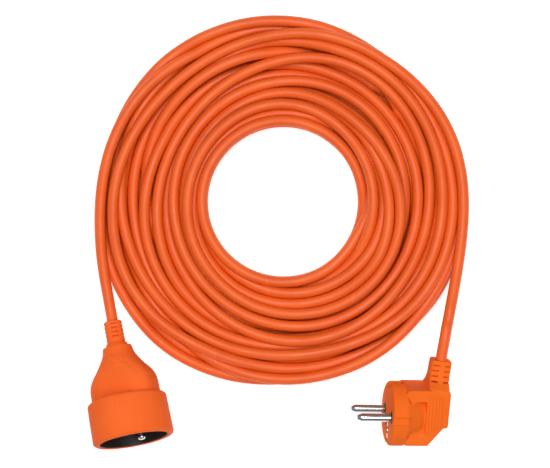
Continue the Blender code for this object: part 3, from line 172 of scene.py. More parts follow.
def steady(x, y, wanted):
    """Cubic curve through the points that never swings past them."""
    width = np.diff(x)
    rise = np.diff(y) / width
    left, right = rise[:-1], rise[1:]
    slope = np.zeros_like(y)
    same = left * right > 0
    mean = np.zeros_like(left)
    mean[same] = (3 * (width[:-1] + width[1:]) / (
        (2 * width[1:] + width[:-1]) / np.where(same, left, 1)
        + (width[1:] + 2 * width[:-1]) / np.where(same, right, 1)))[same]
    slope[1:-1] = mean
    slope[0], slope[-1] = rise[0], rise[-1]
    i = np.clip(np.searchsorted(x, wanted) - 1, 0, len(width) - 1)
    t = (wanted - x[i]) / width[i]
    return ((1 + 2 * t) * (1 - t) ** 2 * y[i] + t * (1 - t) ** 2 * width[i] * slope[i]
            + t * t * (3 - 2 * t) * y[i + 1] + t * t * (t - 1) * width[i] * slope[i + 1])


def spread_route():
    """The whole cord, socket to plug, with its layers pulled apart, and which of it shows."""
    run = np.array([(3600 * turn + 10 * way, inwards, tenths / 10) for turn, strand
                    in enumerate(ROUTE) for way, inwards, tenths in strand], float)
    along = np.arange(run[0, 0], run[-1, 0], 8.0)
    depth = steady(run[:, 0], run[:, 1], along)
    layer = np.interp(along, run[:, 0], run[:, 2])
    radius = RING_REACH - depth / 16 * MM
    angle = -along / 10 * DEG
    order = 0.4 - 0.35 * np.linspace(0, 1, len(along))
    height = CORD_DIAMETER / 2 + (layer + order) * LAYER_HEIGHT * LAYERS_APART
    ring = np.stack([RING_CENTRE.x + radius * np.cos(angle),
                     RING_CENTRE.y + radius * np.sin(angle), height], 1)
    shows = (layer > SHOWN_FROM).astype(float)
    first = np.array(SOCKET_LEAD) * MM
    last = np.array(PLUG_LEAD) * MM
    inside = 2 * first[0] - first[1]
    route = np.concatenate([[inside], first, ring, last])
    shows = np.concatenate([np.ones(len(first) + 1), shows, np.ones(len(last))])
    return evenly(route, shows)


def evenly(route, shows):
    """The route in even spans, and what shows of it."""
    run = np.concatenate([[0], np.cumsum(np.linalg.norm(np.diff(route, axis=0), axis=1))])
    wanted = np.linspace(0, run[-1], int(round(run[-1] / POINT_SPACING)) + 1)
    points = np.stack([np.interp(wanted, run, route[:, k]) for k in range(3)], 1)
    return points, np.interp(wanted, run, shows)


def near_pairs(points, reach, apart):
    """Pairs of spans whose middles are within reach in plan, as two index rows."""
    middle = (points[1:, :2] + points[:-1, :2]) / 2
    found = []
    for start in range(0, len(middle), 400):
        gap = middle[start:start + 400, None] - middle[None]
        i, j = np.nonzero((gap ** 2).sum(2) < reach ** 2)
        i = i + start
        found.append(np.stack([i, j])[:, j - i > apart])
    return np.concatenate(found, 1)


def nearest(points, i, j):
    """Where two spans come closest: the share along each, and the way from one to the other."""
    a, b = points[i], points[j]
    u, v, w = points[i + 1] - a, points[j + 1] - b, a - b
    uu, vv, uv = (u * u).sum(1), (v * v).sum(1), (u * v).sum(1)
    uw, vw = (u * w).sum(1), (v * w).sum(1)
    cross = uu * vv - uv * uv
    s = np.where(cross > 1e-4 * uu * vv, (uv * vw - vv * uw) / np.maximum(cross, 1e-18), 0.5)
    t = np.clip((uv * np.clip(s, 0, 1) + vw) / vv, 0, 1)
    s = np.clip((uv * t - uw) / uu, 0, 1)
    return s, t, a + u * s[:, None] - b - v * t[:, None]


def stiffened(points, free, stride, amount):
    """Ease the cord's bends over a few points' length."""
    bend = np.zeros_like(points)
    bend[stride:-stride] = ((points[:-2 * stride] + points[2 * stride:]) / 2
                            - points[stride:-stride])
    change = np.zeros_like(points)
    change[2 * stride:-2 * stride] = ((bend[stride:-3 * stride] + bend[3 * stride:-stride]) / 2
                                      - bend[2 * stride:-2 * stride])
    return points - amount * change * free


def over_and_under(points):
    """For each two stretches that cross or overlap: 1 where the first is the upper one, or -1."""
    size = len(points) // SPANS_PER_BIN + 1
    i, j = near_pairs(points, CORD_DIAMETER + POINT_SPACING, SPANS_APART)
    flat = points * (1, 1, 0)
    beside = np.linalg.norm(nearest(flat, i, j)[2], axis=1)
    close = beside < CORD_DIAMETER
    i, j, beside = i[close], j[close], beside[close]
    rise = points[i, 2] + points[i + 1, 2] - points[j, 2] - points[j + 1, 2]
    total = np.zeros((size, size))
    np.add.at(total, (i // SPANS_PER_BIN, j // SPANS_PER_BIN), rise * (CORD_DIAMETER - beside))
    wide = np.pad(total, BINS_AROUND)
    shifts = range(2 * BINS_AROUND + 1)
    summed = sum(wide[a:a + size, b:b + size] for a in shifts for b in shifts)
    return np.where(summed >= 0, 1.0, -1.0)


def inside_rims(points):
    """Ease strands that are squeezed out of the ring back between its two rims."""
    offset = points[:, :2] - (RING_CENTRE.x, RING_CENTRE.y)
    radius = np.hypot(offset[:, 0], offset[:, 1])
    along = -np.arctan2(offset[:, 1], offset[:, 0]) / DEG * 10 % 3600
    inner, outer = (np.interp(along, *np.array(rim).T) * MM for rim in (INNER_RIM, OUTER_RIM))
    wanted = np.clip(radius, inner, outer)
    points[:, :2] += offset * (0.5 * (wanted - radius) / radius)[:, None]


def parted(points, free, i, j, upper):
    """Push apart the spans that reach into each other, each to its own side; and the gaps."""
    s, t, way = nearest(points, i, j)
    gap = np.linalg.norm(way, axis=1)
    side = upper[i // SPANS_PER_BIN, j // SPANS_PER_BIN]
    beside = np.hypot(way[:, 0], way[:, 1])
    crossed = (beside < 0.6 * CORD_DIAMETER) & (way[:, 2] * side < 0)
    hit = (gap < CORD_DIAMETER) | crossed
    short = (CORD_DIAMETER - gap[hit]) / 2
    push = way[hit] * (short / np.maximum(gap[hit], 1e-6))[:, None]
    over = np.where(beside[hit] < 0.95 * CORD_DIAMETER, side[hit], 0)
    push[:, 2] += LIFT * over * short
    wrong = crossed[hit]
    push[wrong] = 0
    push[wrong, 2] = (side[hit] * (CORD_DIAMETER + np.abs(way[hit, 2])) / 2)[wrong] * 0.5
    shift, shares = np.zeros_like(points), np.zeros(len(points))
    for index, weight, sign in ((i[hit], 1 - s[hit], 1), (i[hit] + 1, s[hit], 1),
                                (j[hit], 1 - t[hit], -1), (j[hit] + 1, t[hit], -1)):
        for axis in range(3):
            shift[:, axis] += np.bincount(index, push[:, axis] * weight * sign, len(points))
        shares += np.bincount(index, weight, len(points))
    return points + 1.2 * shift / np.maximum(shares, 1)[:, None] * free, gap


def settled(points, shows):
    """Let the cord sink under its weight until it rests on the floor and on itself."""
    home = points[:, :2].copy()
    free = np.ones((len(points), 1))
    free[:FIXED_AT_SOCKET] = free[-FIXED_AT_PLUG:] = 0
    hold = np.where(shows > 0.5, HELD_SHOWN, HELD_HIDDEN)[:, None]
    upper = over_and_under(points)
    before = points.copy()
    for step in range(STEPS):
        if step % PAIRS_RENEWED == 0:
            i, j = near_pairs(points, CORD_DIAMETER + POINT_SPACING + 3 * MM, SPANS_APART)
        drift = (points - before) * DRIFT
        before = points.copy()
        points = points + drift * free
        easing = step > STEPS - EASING_STEPS
        sink = FAST_SINK if step < FAST_STEPS else EASING_SINK if easing else SLOW_SINK
        points[:, 2] -= sink * free[:, 0]
        points[:, :2] += (home - points[:, :2]) * hold * free * (HELD_EASING if easing else 1)
        for stride in STRIDES:
            points = stiffened(points, free, stride, STIFFNESS)
        for _ in range(3):
            points, gap = parted(points, free, i, j, upper)
            points[:, 2] = np.maximum(points[:, 2], CORD_DIAMETER / 2)
            inside_rims(points[LEAD_POINTS:-LEAD_POINTS])
    print("cord: tightest gap %.2f mm, spans over 0.3 mm in each other %d, top %.1f mm" % (
        (gap.min() - CORD_DIAMETER) / MM, (gap < CORD_DIAMETER - 0.3 * MM).sum(),
        (points[:, 2].max() + CORD_DIAMETER / 2) / MM))
    return points


def make_cord(material):
    """The cord along its settled route, and that route's points."""
    points = settled(*spread_route())
    print("cord: length %.3f m" % np.linalg.norm(np.diff(points, axis=0), axis=1).sum())
    curve = bpy.data.curves.new("cord", "CURVE")
    curve.dimensions = "3D"
    curve.bevel_depth = CORD_DIAMETER / 2
    curve.bevel_resolution = 6
    curve.use_fill_caps = True
    spline = curve.splines.new("POLY")
    spline.points.add(len(points) - 1)
    spline.points.foreach_set("co", np.c_[points, np.ones(len(points))].ravel())
    spline.use_smooth = True
    cord = added("cord", curve)
    cord.data.materials.append(material)
    return cord, points


# --- Materials ---

def srgb(r, g, b):
    """The linear colour of three 0 to 255 values."""
    def one(c):
        c /= 255
        return c / 12.92 if c <= 0.04045 else ((c + 0.055) / 1.055) ** 2.4
    return one(r), one(g), one(b), 1.0


class Paint:
    """A Principled material whose parts are added one by one."""

    def __init__(self, name, specular=0.5, metallic=0.0):
        self.material = bpy.data.materials.new(name)
        self.material.use_nodes = True
        tree = self.material.node_tree
        self.nodes, self.link = tree.nodes, tree.links.new
        self.nodes.clear()
        output = self.nodes.new("ShaderNodeOutputMaterial")
        self.shader = self.nodes.new("ShaderNodeBsdfPrincipled")
        self.shader.inputs["Specular IOR Level"].default_value = specular
        self.shader.inputs["Metallic"].default_value = metallic
        self.link(self.shader.outputs["BSDF"], output.inputs["Surface"])
        self.place = self.nodes.new("ShaderNodeTexCoord").outputs["Object"]

    def noise(self, scale, detail=2.0, stretch=None):
        texture = self.nodes.new("ShaderNodeTexNoise")
        texture.inputs["Scale"].default_value = scale
        texture.inputs["Detail"].default_value = detail
        place = self.place
        if stretch:
            squeeze = self.nodes.new("ShaderNodeMapping")
            squeeze.inputs["Scale"].default_value = stretch
            self.link(place, squeeze.inputs["Vector"])
            place = squeeze.outputs["Vector"]
        self.link(place, texture.inputs["Vector"])
        return texture.outputs["Fac"]

    def shades(self, value, *stops):
        ramp_node = self.nodes.new("ShaderNodeValToRGB")
        elements = ramp_node.color_ramp.elements
        while len(elements) < len(stops):
            elements.new(0.5)
        for element, (position, colour) in zip(elements, stops):
            element.position, element.color = position, colour
        self.link(value, ramp_node.inputs["Fac"])
        return ramp_node.outputs["Color"]

    def between(self, value, low, high, start=0.3, end=0.7):
        span = self.nodes.new("ShaderNodeMapRange")
        for name, number in zip(("From Min", "From Max", "To Min", "To Max"),
                                (start, end, low, high)):
            span.inputs[name].default_value = number
        self.link(value, span.inputs["Value"])
        return span.outputs["Result"]

    def mixed(self, share, first, second):
        mix = self.nodes.new("ShaderNodeMix")
        mix.data_type = "RGBA"
        self.link(share, mix.inputs["Factor"])
        self.link(first, mix.inputs["A"])
        self.link(second, mix.inputs["B"])
        return mix.outputs["Result"]

    def reckoned(self, operation, first, second):
        node = self.nodes.new("ShaderNodeMath")
        node.operation = operation
        self.link(first, node.inputs[0])
        self.link(second, node.inputs[1])
        return node.outputs["Value"]

    def grained(self, *layers):
        """Bumps of (value, depth) laid one over the other."""
        normal = None
        for value, depth in layers:
            bump = self.nodes.new("ShaderNodeBump")
            bump.inputs["Distance"].default_value = depth
            self.link(value, bump.inputs["Height"])
            if normal:
                self.link(normal, bump.inputs["Normal"])
            normal = bump.outputs["Normal"]
        self.link(normal, self.shader.inputs["Normal"])

    def put(self, name, value):
        self.link(value, self.shader.inputs[name])


def plastic(name, base, deep, roughness, grain, depth, specular):
    """Moulded plastic: mottled colour, faint scuffs, fine grain and uneven gloss."""
    paint = Paint(name, specular)
    body = paint.shades(paint.noise(35, 3), (0.35, deep), (0.65, base))
    light = tuple(min(1, c * 1.12 + 0.012) for c in base[:3]) + (1.0,)
    scuff = paint.noise(240, 5, (1, 0.12, 0.3))
    worn = paint.shades(scuff, (0.6, light), (1.0, light))
    paint.put("Base Color", paint.mixed(paint.between(scuff, 0, 0.55, 0.66, 0.76), body, worn))
    rough = paint.noise(90, 4)
    paint.put("Roughness", paint.between(rough, roughness - 0.06, roughness + 0.08))
    paint.grained((paint.noise(grain, 2), depth), (paint.noise(160, 2), depth * 1.5))
    return paint.material


def metal(name, base, roughness, grain):
    """Plated or bright metal: faint tarnish, drawn marks and uneven polish."""
    paint = Paint(name, metallic=1.0)
    dull = tuple(c * 0.84 for c in base[:3]) + (1.0,)
    paint.put("Base Color", paint.shades(paint.noise(120, 4), (0.3, dull), (0.62, base)))
    drawn = paint.noise(grain, 3, (0.1, 1, 1))
    paint.put("Roughness", paint.between(drawn, roughness - 0.05, roughness + 0.07))
    paint.grained((drawn, 0.000004))
    return paint.material


def striped(name, first, second, roughness):
    """Core insulation in two colours that wind round it."""
    paint = Paint(name)
    wave = paint.nodes.new("ShaderNodeTexWave")
    wave.bands_direction = "DIAGONAL"
    wave.inputs["Scale"].default_value = 120
    wave.inputs["Distortion"].default_value = 0.4
    paint.link(paint.place, wave.inputs["Vector"])
    paint.put("Base Color", paint.shades(wave.outputs["Fac"], (0.45, first), (0.55, second)))
    paint.put("Roughness", paint.between(paint.noise(300, 3), roughness - 0.05, roughness + 0.06))
    paint.grained((paint.noise(1200, 2), 0.00002))
    return paint.material


# Each plastic's base and deeper colour, roughness, grain, grain's depth and specular level.
PLASTICS = {
    "cord_sheath": ((229, 96, 32), (221, 87, 26), 0.44, 1100, 2e-5, 0.32),
    "orange_pvc": ((236, 103, 43), (231, 96, 37), 0.6, 1500, 3e-5, 0.05),
    "plug_pvc": ((235, 108, 36), (230, 101, 31), 0.6, 1500, 3e-5, 0.02),
    "black_plastic": ((44, 34, 32), (30, 23, 22), 0.42, 1200, 3e-5, 0.5),
    "white_plastic": ((225, 222, 215), (214, 210, 202), 0.45, 1200, 3e-5, 0.5),
    "core_brown": ((96, 56, 34), (84, 48, 28), 0.4, 1200, 2e-5, 0.5),
    "core_blue": ((40, 90, 170), (32, 78, 152), 0.4, 1200, 2e-5, 0.5),
}
# Each metal's colour, roughness and the fineness of its drawn marks.
METALS = {
    "brass": ((220, 184, 110), 0.26, 900),
    "nickel_plated": ((206, 200, 198), 0.17, 700),
    "spring_steel": ((160, 160, 162), 0.3, 900),
}


def make_materials():
    made = {name: plastic(name, srgb(*base), srgb(*deep), *rest)
            for name, (base, deep, *rest) in PLASTICS.items()}
    made.update({name: metal(name, srgb(*base), *rest) for name, (base, *rest) in METALS.items()})
    name = "core_green_yellow"
    made[name] = striped(name, srgb(60, 140, 60), srgb(225, 205, 50), 0.4)
    return made


# --- Shaping ---

def added(name, data):
    obj = bpy.data.objects.new(name, data)
    bpy.context.scene.collection.objects.link(obj)
    return obj


def arc(centre, radius, start, end, steps=6):
    """Points along an arc, by its angles, as (radius, height) or (y, z) pairs."""
    return [(centre[0] + radius * math.cos(start + (end - start) * k / steps),
             centre[1] + radius * math.sin(start + (end - start) * k / steps))
            for k in range(steps + 1)]


def skinned(name, rings):
    """Closed solid through rings of points in mm; a ring of one point is a tip."""
    bm = bmesh.new()
    rings = [[bm.verts.new([value * MM for value in point]) for point in ring] for ring in rings]
    for lower, upper in zip(rings, rings[1:]):
        for k in range(max(len(lower), len(upper))):
            corners = [lower[k % len(lower)], lower[(k + 1) % len(lower)],
                       upper[(k + 1) % len(upper)], upper[k % len(upper)]]
            corners = list(dict.fromkeys(corners))
            if len(corners) > 2:
                bm.faces.new(corners)
    for ring in (rings[0], rings[-1]):
        if len(ring) > 2:
            bm.faces.new(ring)
    bmesh.ops.recalc_face_normals(bm, faces=bm.faces)
    data = bpy.data.meshes.new(name)
    bm.to_mesh(data)
    bm.free()
    return added(name, data)


def turned(name, profile, sides=96):
    """Solid turned about Z from (radius, z) points, its ends on the axis."""
    rings = []
    for radius, z in profile:
        count = sides if radius > 0 else 1
        rings.append([(radius * math.cos(2 * math.pi * k / sides),
                       radius * math.sin(2 * math.pi * k / sides), z) for k in range(count)])
    return skinned(name, rings)


def shifted(obj, x, y):
    return moved(obj, Matrix.Translation((x * MM, y * MM, 0)))


def rod(name, radius, low, high, place=(0, 0)):
    stick = turned(name, [(0, low), (radius, low), (radius, high), (0, high)], sides=64)
    return shifted(stick, *place)


def lofted(name, sections, sides=96):
    """Solid along Z through squared ovals given as (z, half width, half height, squareness)."""
    rings = []
    for z, width, height, squareness in sections:
        ring = []
        for k in range(sides):
            c, s = math.cos(2 * math.pi * k / sides), math.sin(2 * math.pi * k / sides)
            power = 2 / squareness
            ring.append((math.copysign(width * abs(c) ** power, c),
                         math.copysign(height * abs(s) ** power, s), z))
        rings.append(ring)
    return skinned(name, rings)


def block(name, low, high):
    return skinned(name, [[(x, low[1], z), (x, high[1], z), (x, high[1], z2), (x, low[1], z2)]
                          for x, z, z2 in ((low[0], low[2], high[2]), (high[0], low[2], high[2]))])


def moved(obj, matrix):
    """Shift the object's mesh itself, and not its place."""
    obj.data.transform(matrix)
    return obj


def applied(obj):
    """Give the object the mesh that its modifiers make."""
    graph = bpy.context.evaluated_depsgraph_get()
    data = bpy.data.meshes.new_from_object(obj.evaluated_get(graph))
    obj.modifiers.clear()
    obj.data = data
    return obj


def combined(target, tools, operation):
    """Join the tools to the target or cut them out of it; the tools are used up."""
    for tool in tools:
        change = target.modifiers.new("change", "BOOLEAN")
        change.operation = operation
        change.solver = "EXACT"
        change.object = tool
    applied(target)
    for tool in tools:
        bpy.data.objects.remove(tool)
    return target


def softened(obj, grain, passes):
    """Even, fine mesh with every edge a little rounded, as a moulding's are."""
    even = obj.modifiers.new("even", "REMESH")
    even.mode = "VOXEL"
    even.voxel_size = grain
    soft = obj.modifiers.new("soft", "SMOOTH")
    soft.factor = 0.5
    soft.iterations = passes
    return applied(obj)


def pushed(obj, field):
    """Move each vertex by what field gives for all of them, as a moulding's relief."""
    data = obj.data
    places = np.empty(len(data.vertices) * 3)
    data.vertices.foreach_get("co", places)
    places = places.reshape(-1, 3)
    data.vertices.foreach_set("co", (places + field(places / MM) * MM).ravel())
    data.update()
    return obj


def ramp(value, low, high):
    """0 below low, 1 above high, an even S between."""
    t = np.clip((value - low) / (high - low), 0, 1)
    return t * t * (3 - 2 * t)


def bump_at(value, middle, half_width):
    """1 at the middle, falling to 0 on both sides of it."""
    return 1 - ramp(np.abs(value - middle), half_width * 0.5, half_width * 1.5)


def dressed(obj, place, material, body, node):
    """Put a finished piece in its connector's place, instead of its solid."""
    moved(obj, place)
    obj.data.materials.clear()
    obj.data.materials.append(material)
    for polygon in obj.data.polygons:
        polygon.use_smooth = True
    obj.data.set_sharp_from_angle(angle=40 * DEG)
    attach(obj, body)
    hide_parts(node)
    return obj


# --- The socket ---

# Measures of the socket's and the plug's pieces are in mm, in their connector's frame.
SOCKET_LENGTH = 70.5
PIN_SPACING = 19
PIN_DIAMETER = 4.8
EARTH_OFFSET = 10
CONTACTS = ((PIN_SPACING / 2, 0), (-PIN_SPACING / 2, 0))
EARTH_SPOT = (0, -EARTH_OFFSET)
COLLAR_RADIUS = 23.7
COLLAR_FRONT = 0.7
COLLAR_BACK = -24
LIP_RADIUS = 20.1
CUP_RADIUS = 21.2
DECK_FRONT = -15
DECK_BACK = -17
DISC_BACK = -25
CHAMBER_RADIUS = 14
RELIEF_START = -57.5
SHEATH_BORE = 3.3
CRIMP_RADIUS = 1.6
SHELL_GRAIN, SHELL_PASSES = 0.24 * MM, 4  # the shells' mesh, and how often it is smoothed
SOCKET_RELIEF = 5.3
WINDOW_TURN = 56

# The shoulders, as depth behind the mouth, half width, half height and squareness.
SHOULDERS = ((23, 20.3, 11.8, 3.2), (31, 20.2, 11.7, 3.2), (34.5, 19.6, 11.5, 3.2),
             (37.5, 18.3, 11.1, 3), (39.5, 17, 10.8, 2.9), (41.3, 15.4, 10.5, 2.8),
             (43.3, 13.8, 10.2, 2.7), (45.4, 12.3, 9.9, 2.6), (47.5, 11, 9.5, 2.4),
             (49.5, 9.9, 9.1, 2.2), (52, 9.1, 8.7, 2), (55, 8.5, 8.4, 2))
# The raised panel on each broad side, as depth and half width.
PANEL_DEPTHS = (23, 30, 34.6, 39.5, 44, 47, 49.5)
PANEL_HALF_WIDTHS = (17, 17, 16, 12.7, 7.6, 4.5, 1.5)


def socket_place():
    out = Vector((math.sin(SOCKET_YAW) * math.cos(SOCKET_TILT),
                  -math.cos(SOCKET_YAW) * math.cos(SOCKET_TILT), math.sin(SOCKET_TILT)))
    side = Vector((0, 0, 1)).cross(out).normalized()
    axes = Matrix((side, out.cross(side), out)).transposed().to_4x4()
    return Matrix.Translation(SOCKET_PLACE) @ axes @ Matrix.Rotation(SOCKET_ROLL, 4, "Z")


def shoulder_sections():
    rows = np.array(SHOULDERS)
    depths = np.linspace(rows[0, 0], rows[-1, 0], 60)
    return zip(-depths, *(steady(rows[:, 0], rows[:, k], depths) for k in (1, 2, 3)))


def socket_relief_slots():
    """Four rows of windows on four sides of the round strain relief."""
    slots = []
    for row in range(4):
        z = -SOCKET_LENGTH + (2.1 + 2.5 * row)
        for quarter in range(4):
            slot = block("slot", (SOCKET_RELIEF - 1.8, -2.2, z - 0.42),
                         (SOCKET_RELIEF + 1, 2.2, z + 0.42))
            turn = Matrix.Rotation((WINDOW_TURN + 90 * quarter) * DEG, 4, "Z")
            slots.append(moved(slot, turn))
    return slots


def socket_panel(places):
    """Raised panel with a soft edge on both broad sides, and its five ribs."""
    x, y, depth = places[:, 0], places[:, 1], -places[:, 2]
    half = np.interp(depth, PANEL_DEPTHS, PANEL_HALF_WIDTHS)
    on = ramp(depth, 24.3, 25.0) * (1 - ramp(depth, 49.5, 50.5)) * ramp(np.abs(y), 5.0, 7.0)
    rise = 0.55 * ramp(half - np.abs(x), 0.0, 1.8)
    for rib in range(5):
        length = 7.4 - 0.8 * rib
        rise += (0.5 * bump_at(depth, 42.2 + 1.45 * rib, 0.62)
                 * (1 - ramp(np.abs(x - 2.0), length, length + 0.6)))
    return np.stack([0 * x, np.sign(y) * rise * on, 0 * x], 1)


def make_socket_body(material, place):
    """Collar, shoulders and strain relief in one moulding, hollow for what it holds."""
    edge, lip = 2.1, 0.5
    profile = [(0, DECK_FRONT), (LIP_RADIUS, DECK_FRONT)]
    profile += arc((LIP_RADIUS + lip, COLLAR_FRONT - lip), lip, 180 * DEG, 90 * DEG)
    profile += arc((COLLAR_RADIUS - edge, COLLAR_FRONT - edge), edge, 90 * DEG, 0)
    back = COLLAR_RADIUS - 0.5
    profile += arc((back - edge, COLLAR_BACK + edge), edge, 0, -70 * DEG)
    profile += [(17, COLLAR_BACK - 0.8), (15.5, COLLAR_BACK - 1.6)]
    collar = turned("socket_shell", profile + [(0, COLLAR_BACK - 1.6)], sides=160)
    relief, end = SOCKET_RELIEF, -SOCKET_LENGTH
    tail = turned("tail", [(0, -54), (relief + 1.6, -54), (relief + 0.8, RELIEF_START + 0.6),
                           (relief, RELIEF_START), (relief, end + 0.5), (relief - 0.5, end),
                           (0, end)])
    shell = combined(collar, [lofted("shoulders", shoulder_sections()), tail], "UNION")
    cup = CUP_RADIUS + 0.2
    front, step, back = -1.9, -17.2, -25.1
    chamber = CHAMBER_RADIUS + 0.6
    room = turned("room", [(0, front), (cup, front), (cup, step), (chamber, step),
                           (chamber, back), (0, back)])
    carrier = block("carrier", (-14.2, -6.5, -36), (14.2, 6.5, -24))
    bore = rod("bore", SHEATH_BORE, end - 1, -50)
    combined(shell, [room, carrier, bore] + socket_relief_slots(), "DIFFERENCE")
    pushed(softened(shell, SHELL_GRAIN, SHELL_PASSES), socket_panel)
    return dressed(shell, place, material, "cord_set", "socket_body")


def make_socket_insert(material, place):
    """Black cup that lines the mouth, its deck with two lead-in holes and the earth pin's hole."""
    inner, corner = 19.8, 0.8
    front = COLLAR_FRONT - 0.35
    skirt = CHAMBER_RADIUS + 0.5
    profile = [(0, DECK_FRONT)]
    profile += arc((inner - corner, DECK_FRONT + corner), corner, -90 * DEG, 0)
    profile += [(inner, front - 0.1), (inner + 0.12, front),
                (LIP_RADIUS - 0.05, front), (LIP_RADIUS - 0.05, -2.1),
                (CUP_RADIUS, -2.1), (CUP_RADIUS, DECK_BACK), (skirt, DECK_BACK),
                (skirt, -22), (CHAMBER_RADIUS, -22), (CHAMBER_RADIUS, DECK_BACK),
                (0, DECK_BACK)]
    insert = turned("socket_cup", profile, sides=128)
    holes = []
    for spot in CONTACTS:
        hole = turned("hole", [(0, -18), (2.75, -18), (2.75, -15.7), (3.6, -14.9), (3.6, -14),
                               (0, -14)], 64)
        holes.append(shifted(hole, *spot))
    holes.append(rod("earth", PIN_DIAMETER / 2 + 0.2, -18, -14, EARTH_SPOT))
    combined(insert, holes, "DIFFERENCE")
    return dressed(insert, place, material, "cord_set", "socket_insert")


def make_earth_pin(material, place):
    """Pin in the recess, with the tab behind the carrier's disc and its crimp."""
    radius, nose, tip = PIN_DIAMETER / 2, 1.7, COLLAR_FRONT - 1
    profile = [(0, tip)] + arc((radius - nose, tip - nose), nose, 90 * DEG, 0)
    pin = turned("socket_earth_pin", profile + [(radius, DISC_BACK), (0, DISC_BACK)], sides=64)
    shifted(pin, *EARTH_SPOT)
    tab = block("tab", (-2.0, -EARTH_OFFSET, DISC_BACK),
                (2.0, -1.2, DISC_BACK + 1.1))
    crimp = rod("crimp", CRIMP_RADIUS, -39.6, DISC_BACK + 0.5, (0, -3.1))
    combined(pin, [tab, crimp], "UNION")
    return dressed(pin, place, material, "cord_set", "earth_pin")


# --- The plug ---

FLANGE_RADIUS = 18.85
FLANGE_BACK = -11.6
HANDLE_HALF = 12.9
HANDLE_TOP = 16.95
HANDLE_BOTTOM = -16.2
HANDLE_BACK = -34.2
HANDLE_FRONT = -8.4
BRIDGE_FRONT = -1.8
BRIDGE_BACK = -9.8
PLUG_RELIEF_LEAN = 6.2 * DEG
PLUG_RELIEF_REACH = 19.6
PIN_TIP = 19.8
# The strain relief, and the flare that carries it down to the handle's full thickness.
RELIEF_ROWS = ((0, 5.6, 6.2), (19.1, 5.45, 6), (19.6, 5, 5.6))
ROOT_ROWS = ((1.5, 12.6, 6.3), (4, 12.3, 6.3), (5.2, 10.4, 6.3), (6.6, 8.2, 6.2),
             (8.2, 6.6, 6.2), (10, 5.8, 6.1), (11, 5.5, 6))


def plug_place():
    turn = (Matrix.Rotation(PLUG_YAW, 4, "Z") @ Matrix.Rotation(PLUG_TILT, 4, "Y")
            @ Matrix.Rotation(PLUG_ROLL, 4, "X"))
    axes = Matrix(((0, 0, -1), (0, 1, 0), (1, 0, 0))).to_4x4()
    return Matrix.Translation(PLUG_PLACE) @ turn @ axes


def relief_place():
    """The plug relief's own frame: +Y along the cord, from inside the handle."""
    return (Matrix.Translation(Vector((0, 13.1, -27.4)) * MM)
            @ Matrix.Rotation(-PLUG_RELIEF_LEAN, 4, "X"))


def plug_handle():
    """The handle, slanted below and stepped behind, with its edges rounded."""
    corner = 2.6
    outline = [(HANDLE_TOP, HANDLE_FRONT)]
    outline += arc((HANDLE_TOP - corner, HANDLE_BACK + corner), corner, 0, -90 * DEG, 4)
    outline += [(-5.6, HANDLE_BACK + 0.6), (-5.6, HANDLE_BACK + 3.3),
                (HANDLE_BOTTOM, -22.1), (HANDLE_BOTTOM, HANDLE_FRONT)]
    handle = skinned("handle", [[(x, y, z) for y, z in outline]
                                for x in (-HANDLE_HALF, HANDLE_HALF)])
    edges = handle.modifiers.new("edges", "BEVEL")
    edges.width = 1.3 * MM
    edges.segments = 3
    edges.limit_method = "ANGLE"
    edges.angle_limit = 60 * DEG
    return applied(handle)


def along_relief(obj):
    """Lay what was made along Z along the strain relief."""
    return moved(obj, relief_place() @ Matrix.Rotation(-90 * DEG, 4, "X"))


def relief_bar(name, rows):
    """A bar along the relief, from rows of way along it, half thickness and half width."""
    return along_relief(lofted(name, [(*row, 5) for row in rows], sides=64))


def plug_relief_slots():
    """Four rows of windows in the relief's two broad faces."""
    slots = []
    for row in range(4):
        y = PLUG_RELIEF_REACH - (2.7 + 3.1 * row)
        for side in (1, -1):
            for low, high in ((-5.2, -1.2), (2.0, 7.5)):
                near, far = sorted((side * 3.4, side * 10))
                slot = block("slot", (near, y - 0.45, -high), (far, y + 0.45, -low))
                slots.append(moved(slot, relief_place()))
    return slots


def guide_notch(side):
    """The groove in the flange's side that a socket's guide rail runs in."""
    sweep = arc((0, -7.6), 2.4, 0, -180 * DEG, 8)
    outline = [(2.4, 1)] + sweep + [(-2.4, 1)]
    return skinned("notch", [[(side * x, y, z) for y, z in outline] for x in (17.5, 20)])


def handle_relief(places):
    """Finger hollows and grip ribs on the handle's two broad sides."""
    x, y, depth = places[:, 0], places[:, 1], -places[:, 2]
    on = (ramp(np.abs(x), HANDLE_HALF - 1.2, HANDLE_HALF - 0.3) * ramp(depth, 10.5, 12.5)
          * (1 - ramp(y, 16.2, 16.9)))
    hollow = (ramp(depth, 8.8, 9.6) * (1 - ramp(depth, 19.2, 20.4)) * ramp(np.abs(x), 10.5, 11.5)
              * (1 - ramp(y, 9.3, 10.3)) * ramp(y, -11, -4))
    radius = np.interp(depth, (8.6, 19.6), (18.85, 12.0))
    floor = np.sqrt(np.maximum(radius ** 2 - y ** 2, 1))
    sunk = hollow * (floor - np.abs(x))
    rise = 0 * x
    for rib in range(5):
        foot = rib - 9
        rise += (0.5 * bump_at(depth, 21.0 + 1.9 * rib, 0.75)
                 * (1 - ramp(y, 14.6, 15.2)) * ramp(y, foot, foot + 0.6))
    return np.stack([np.sign(x) * (rise * on + sunk), 0 * x, 0 * x], 1)


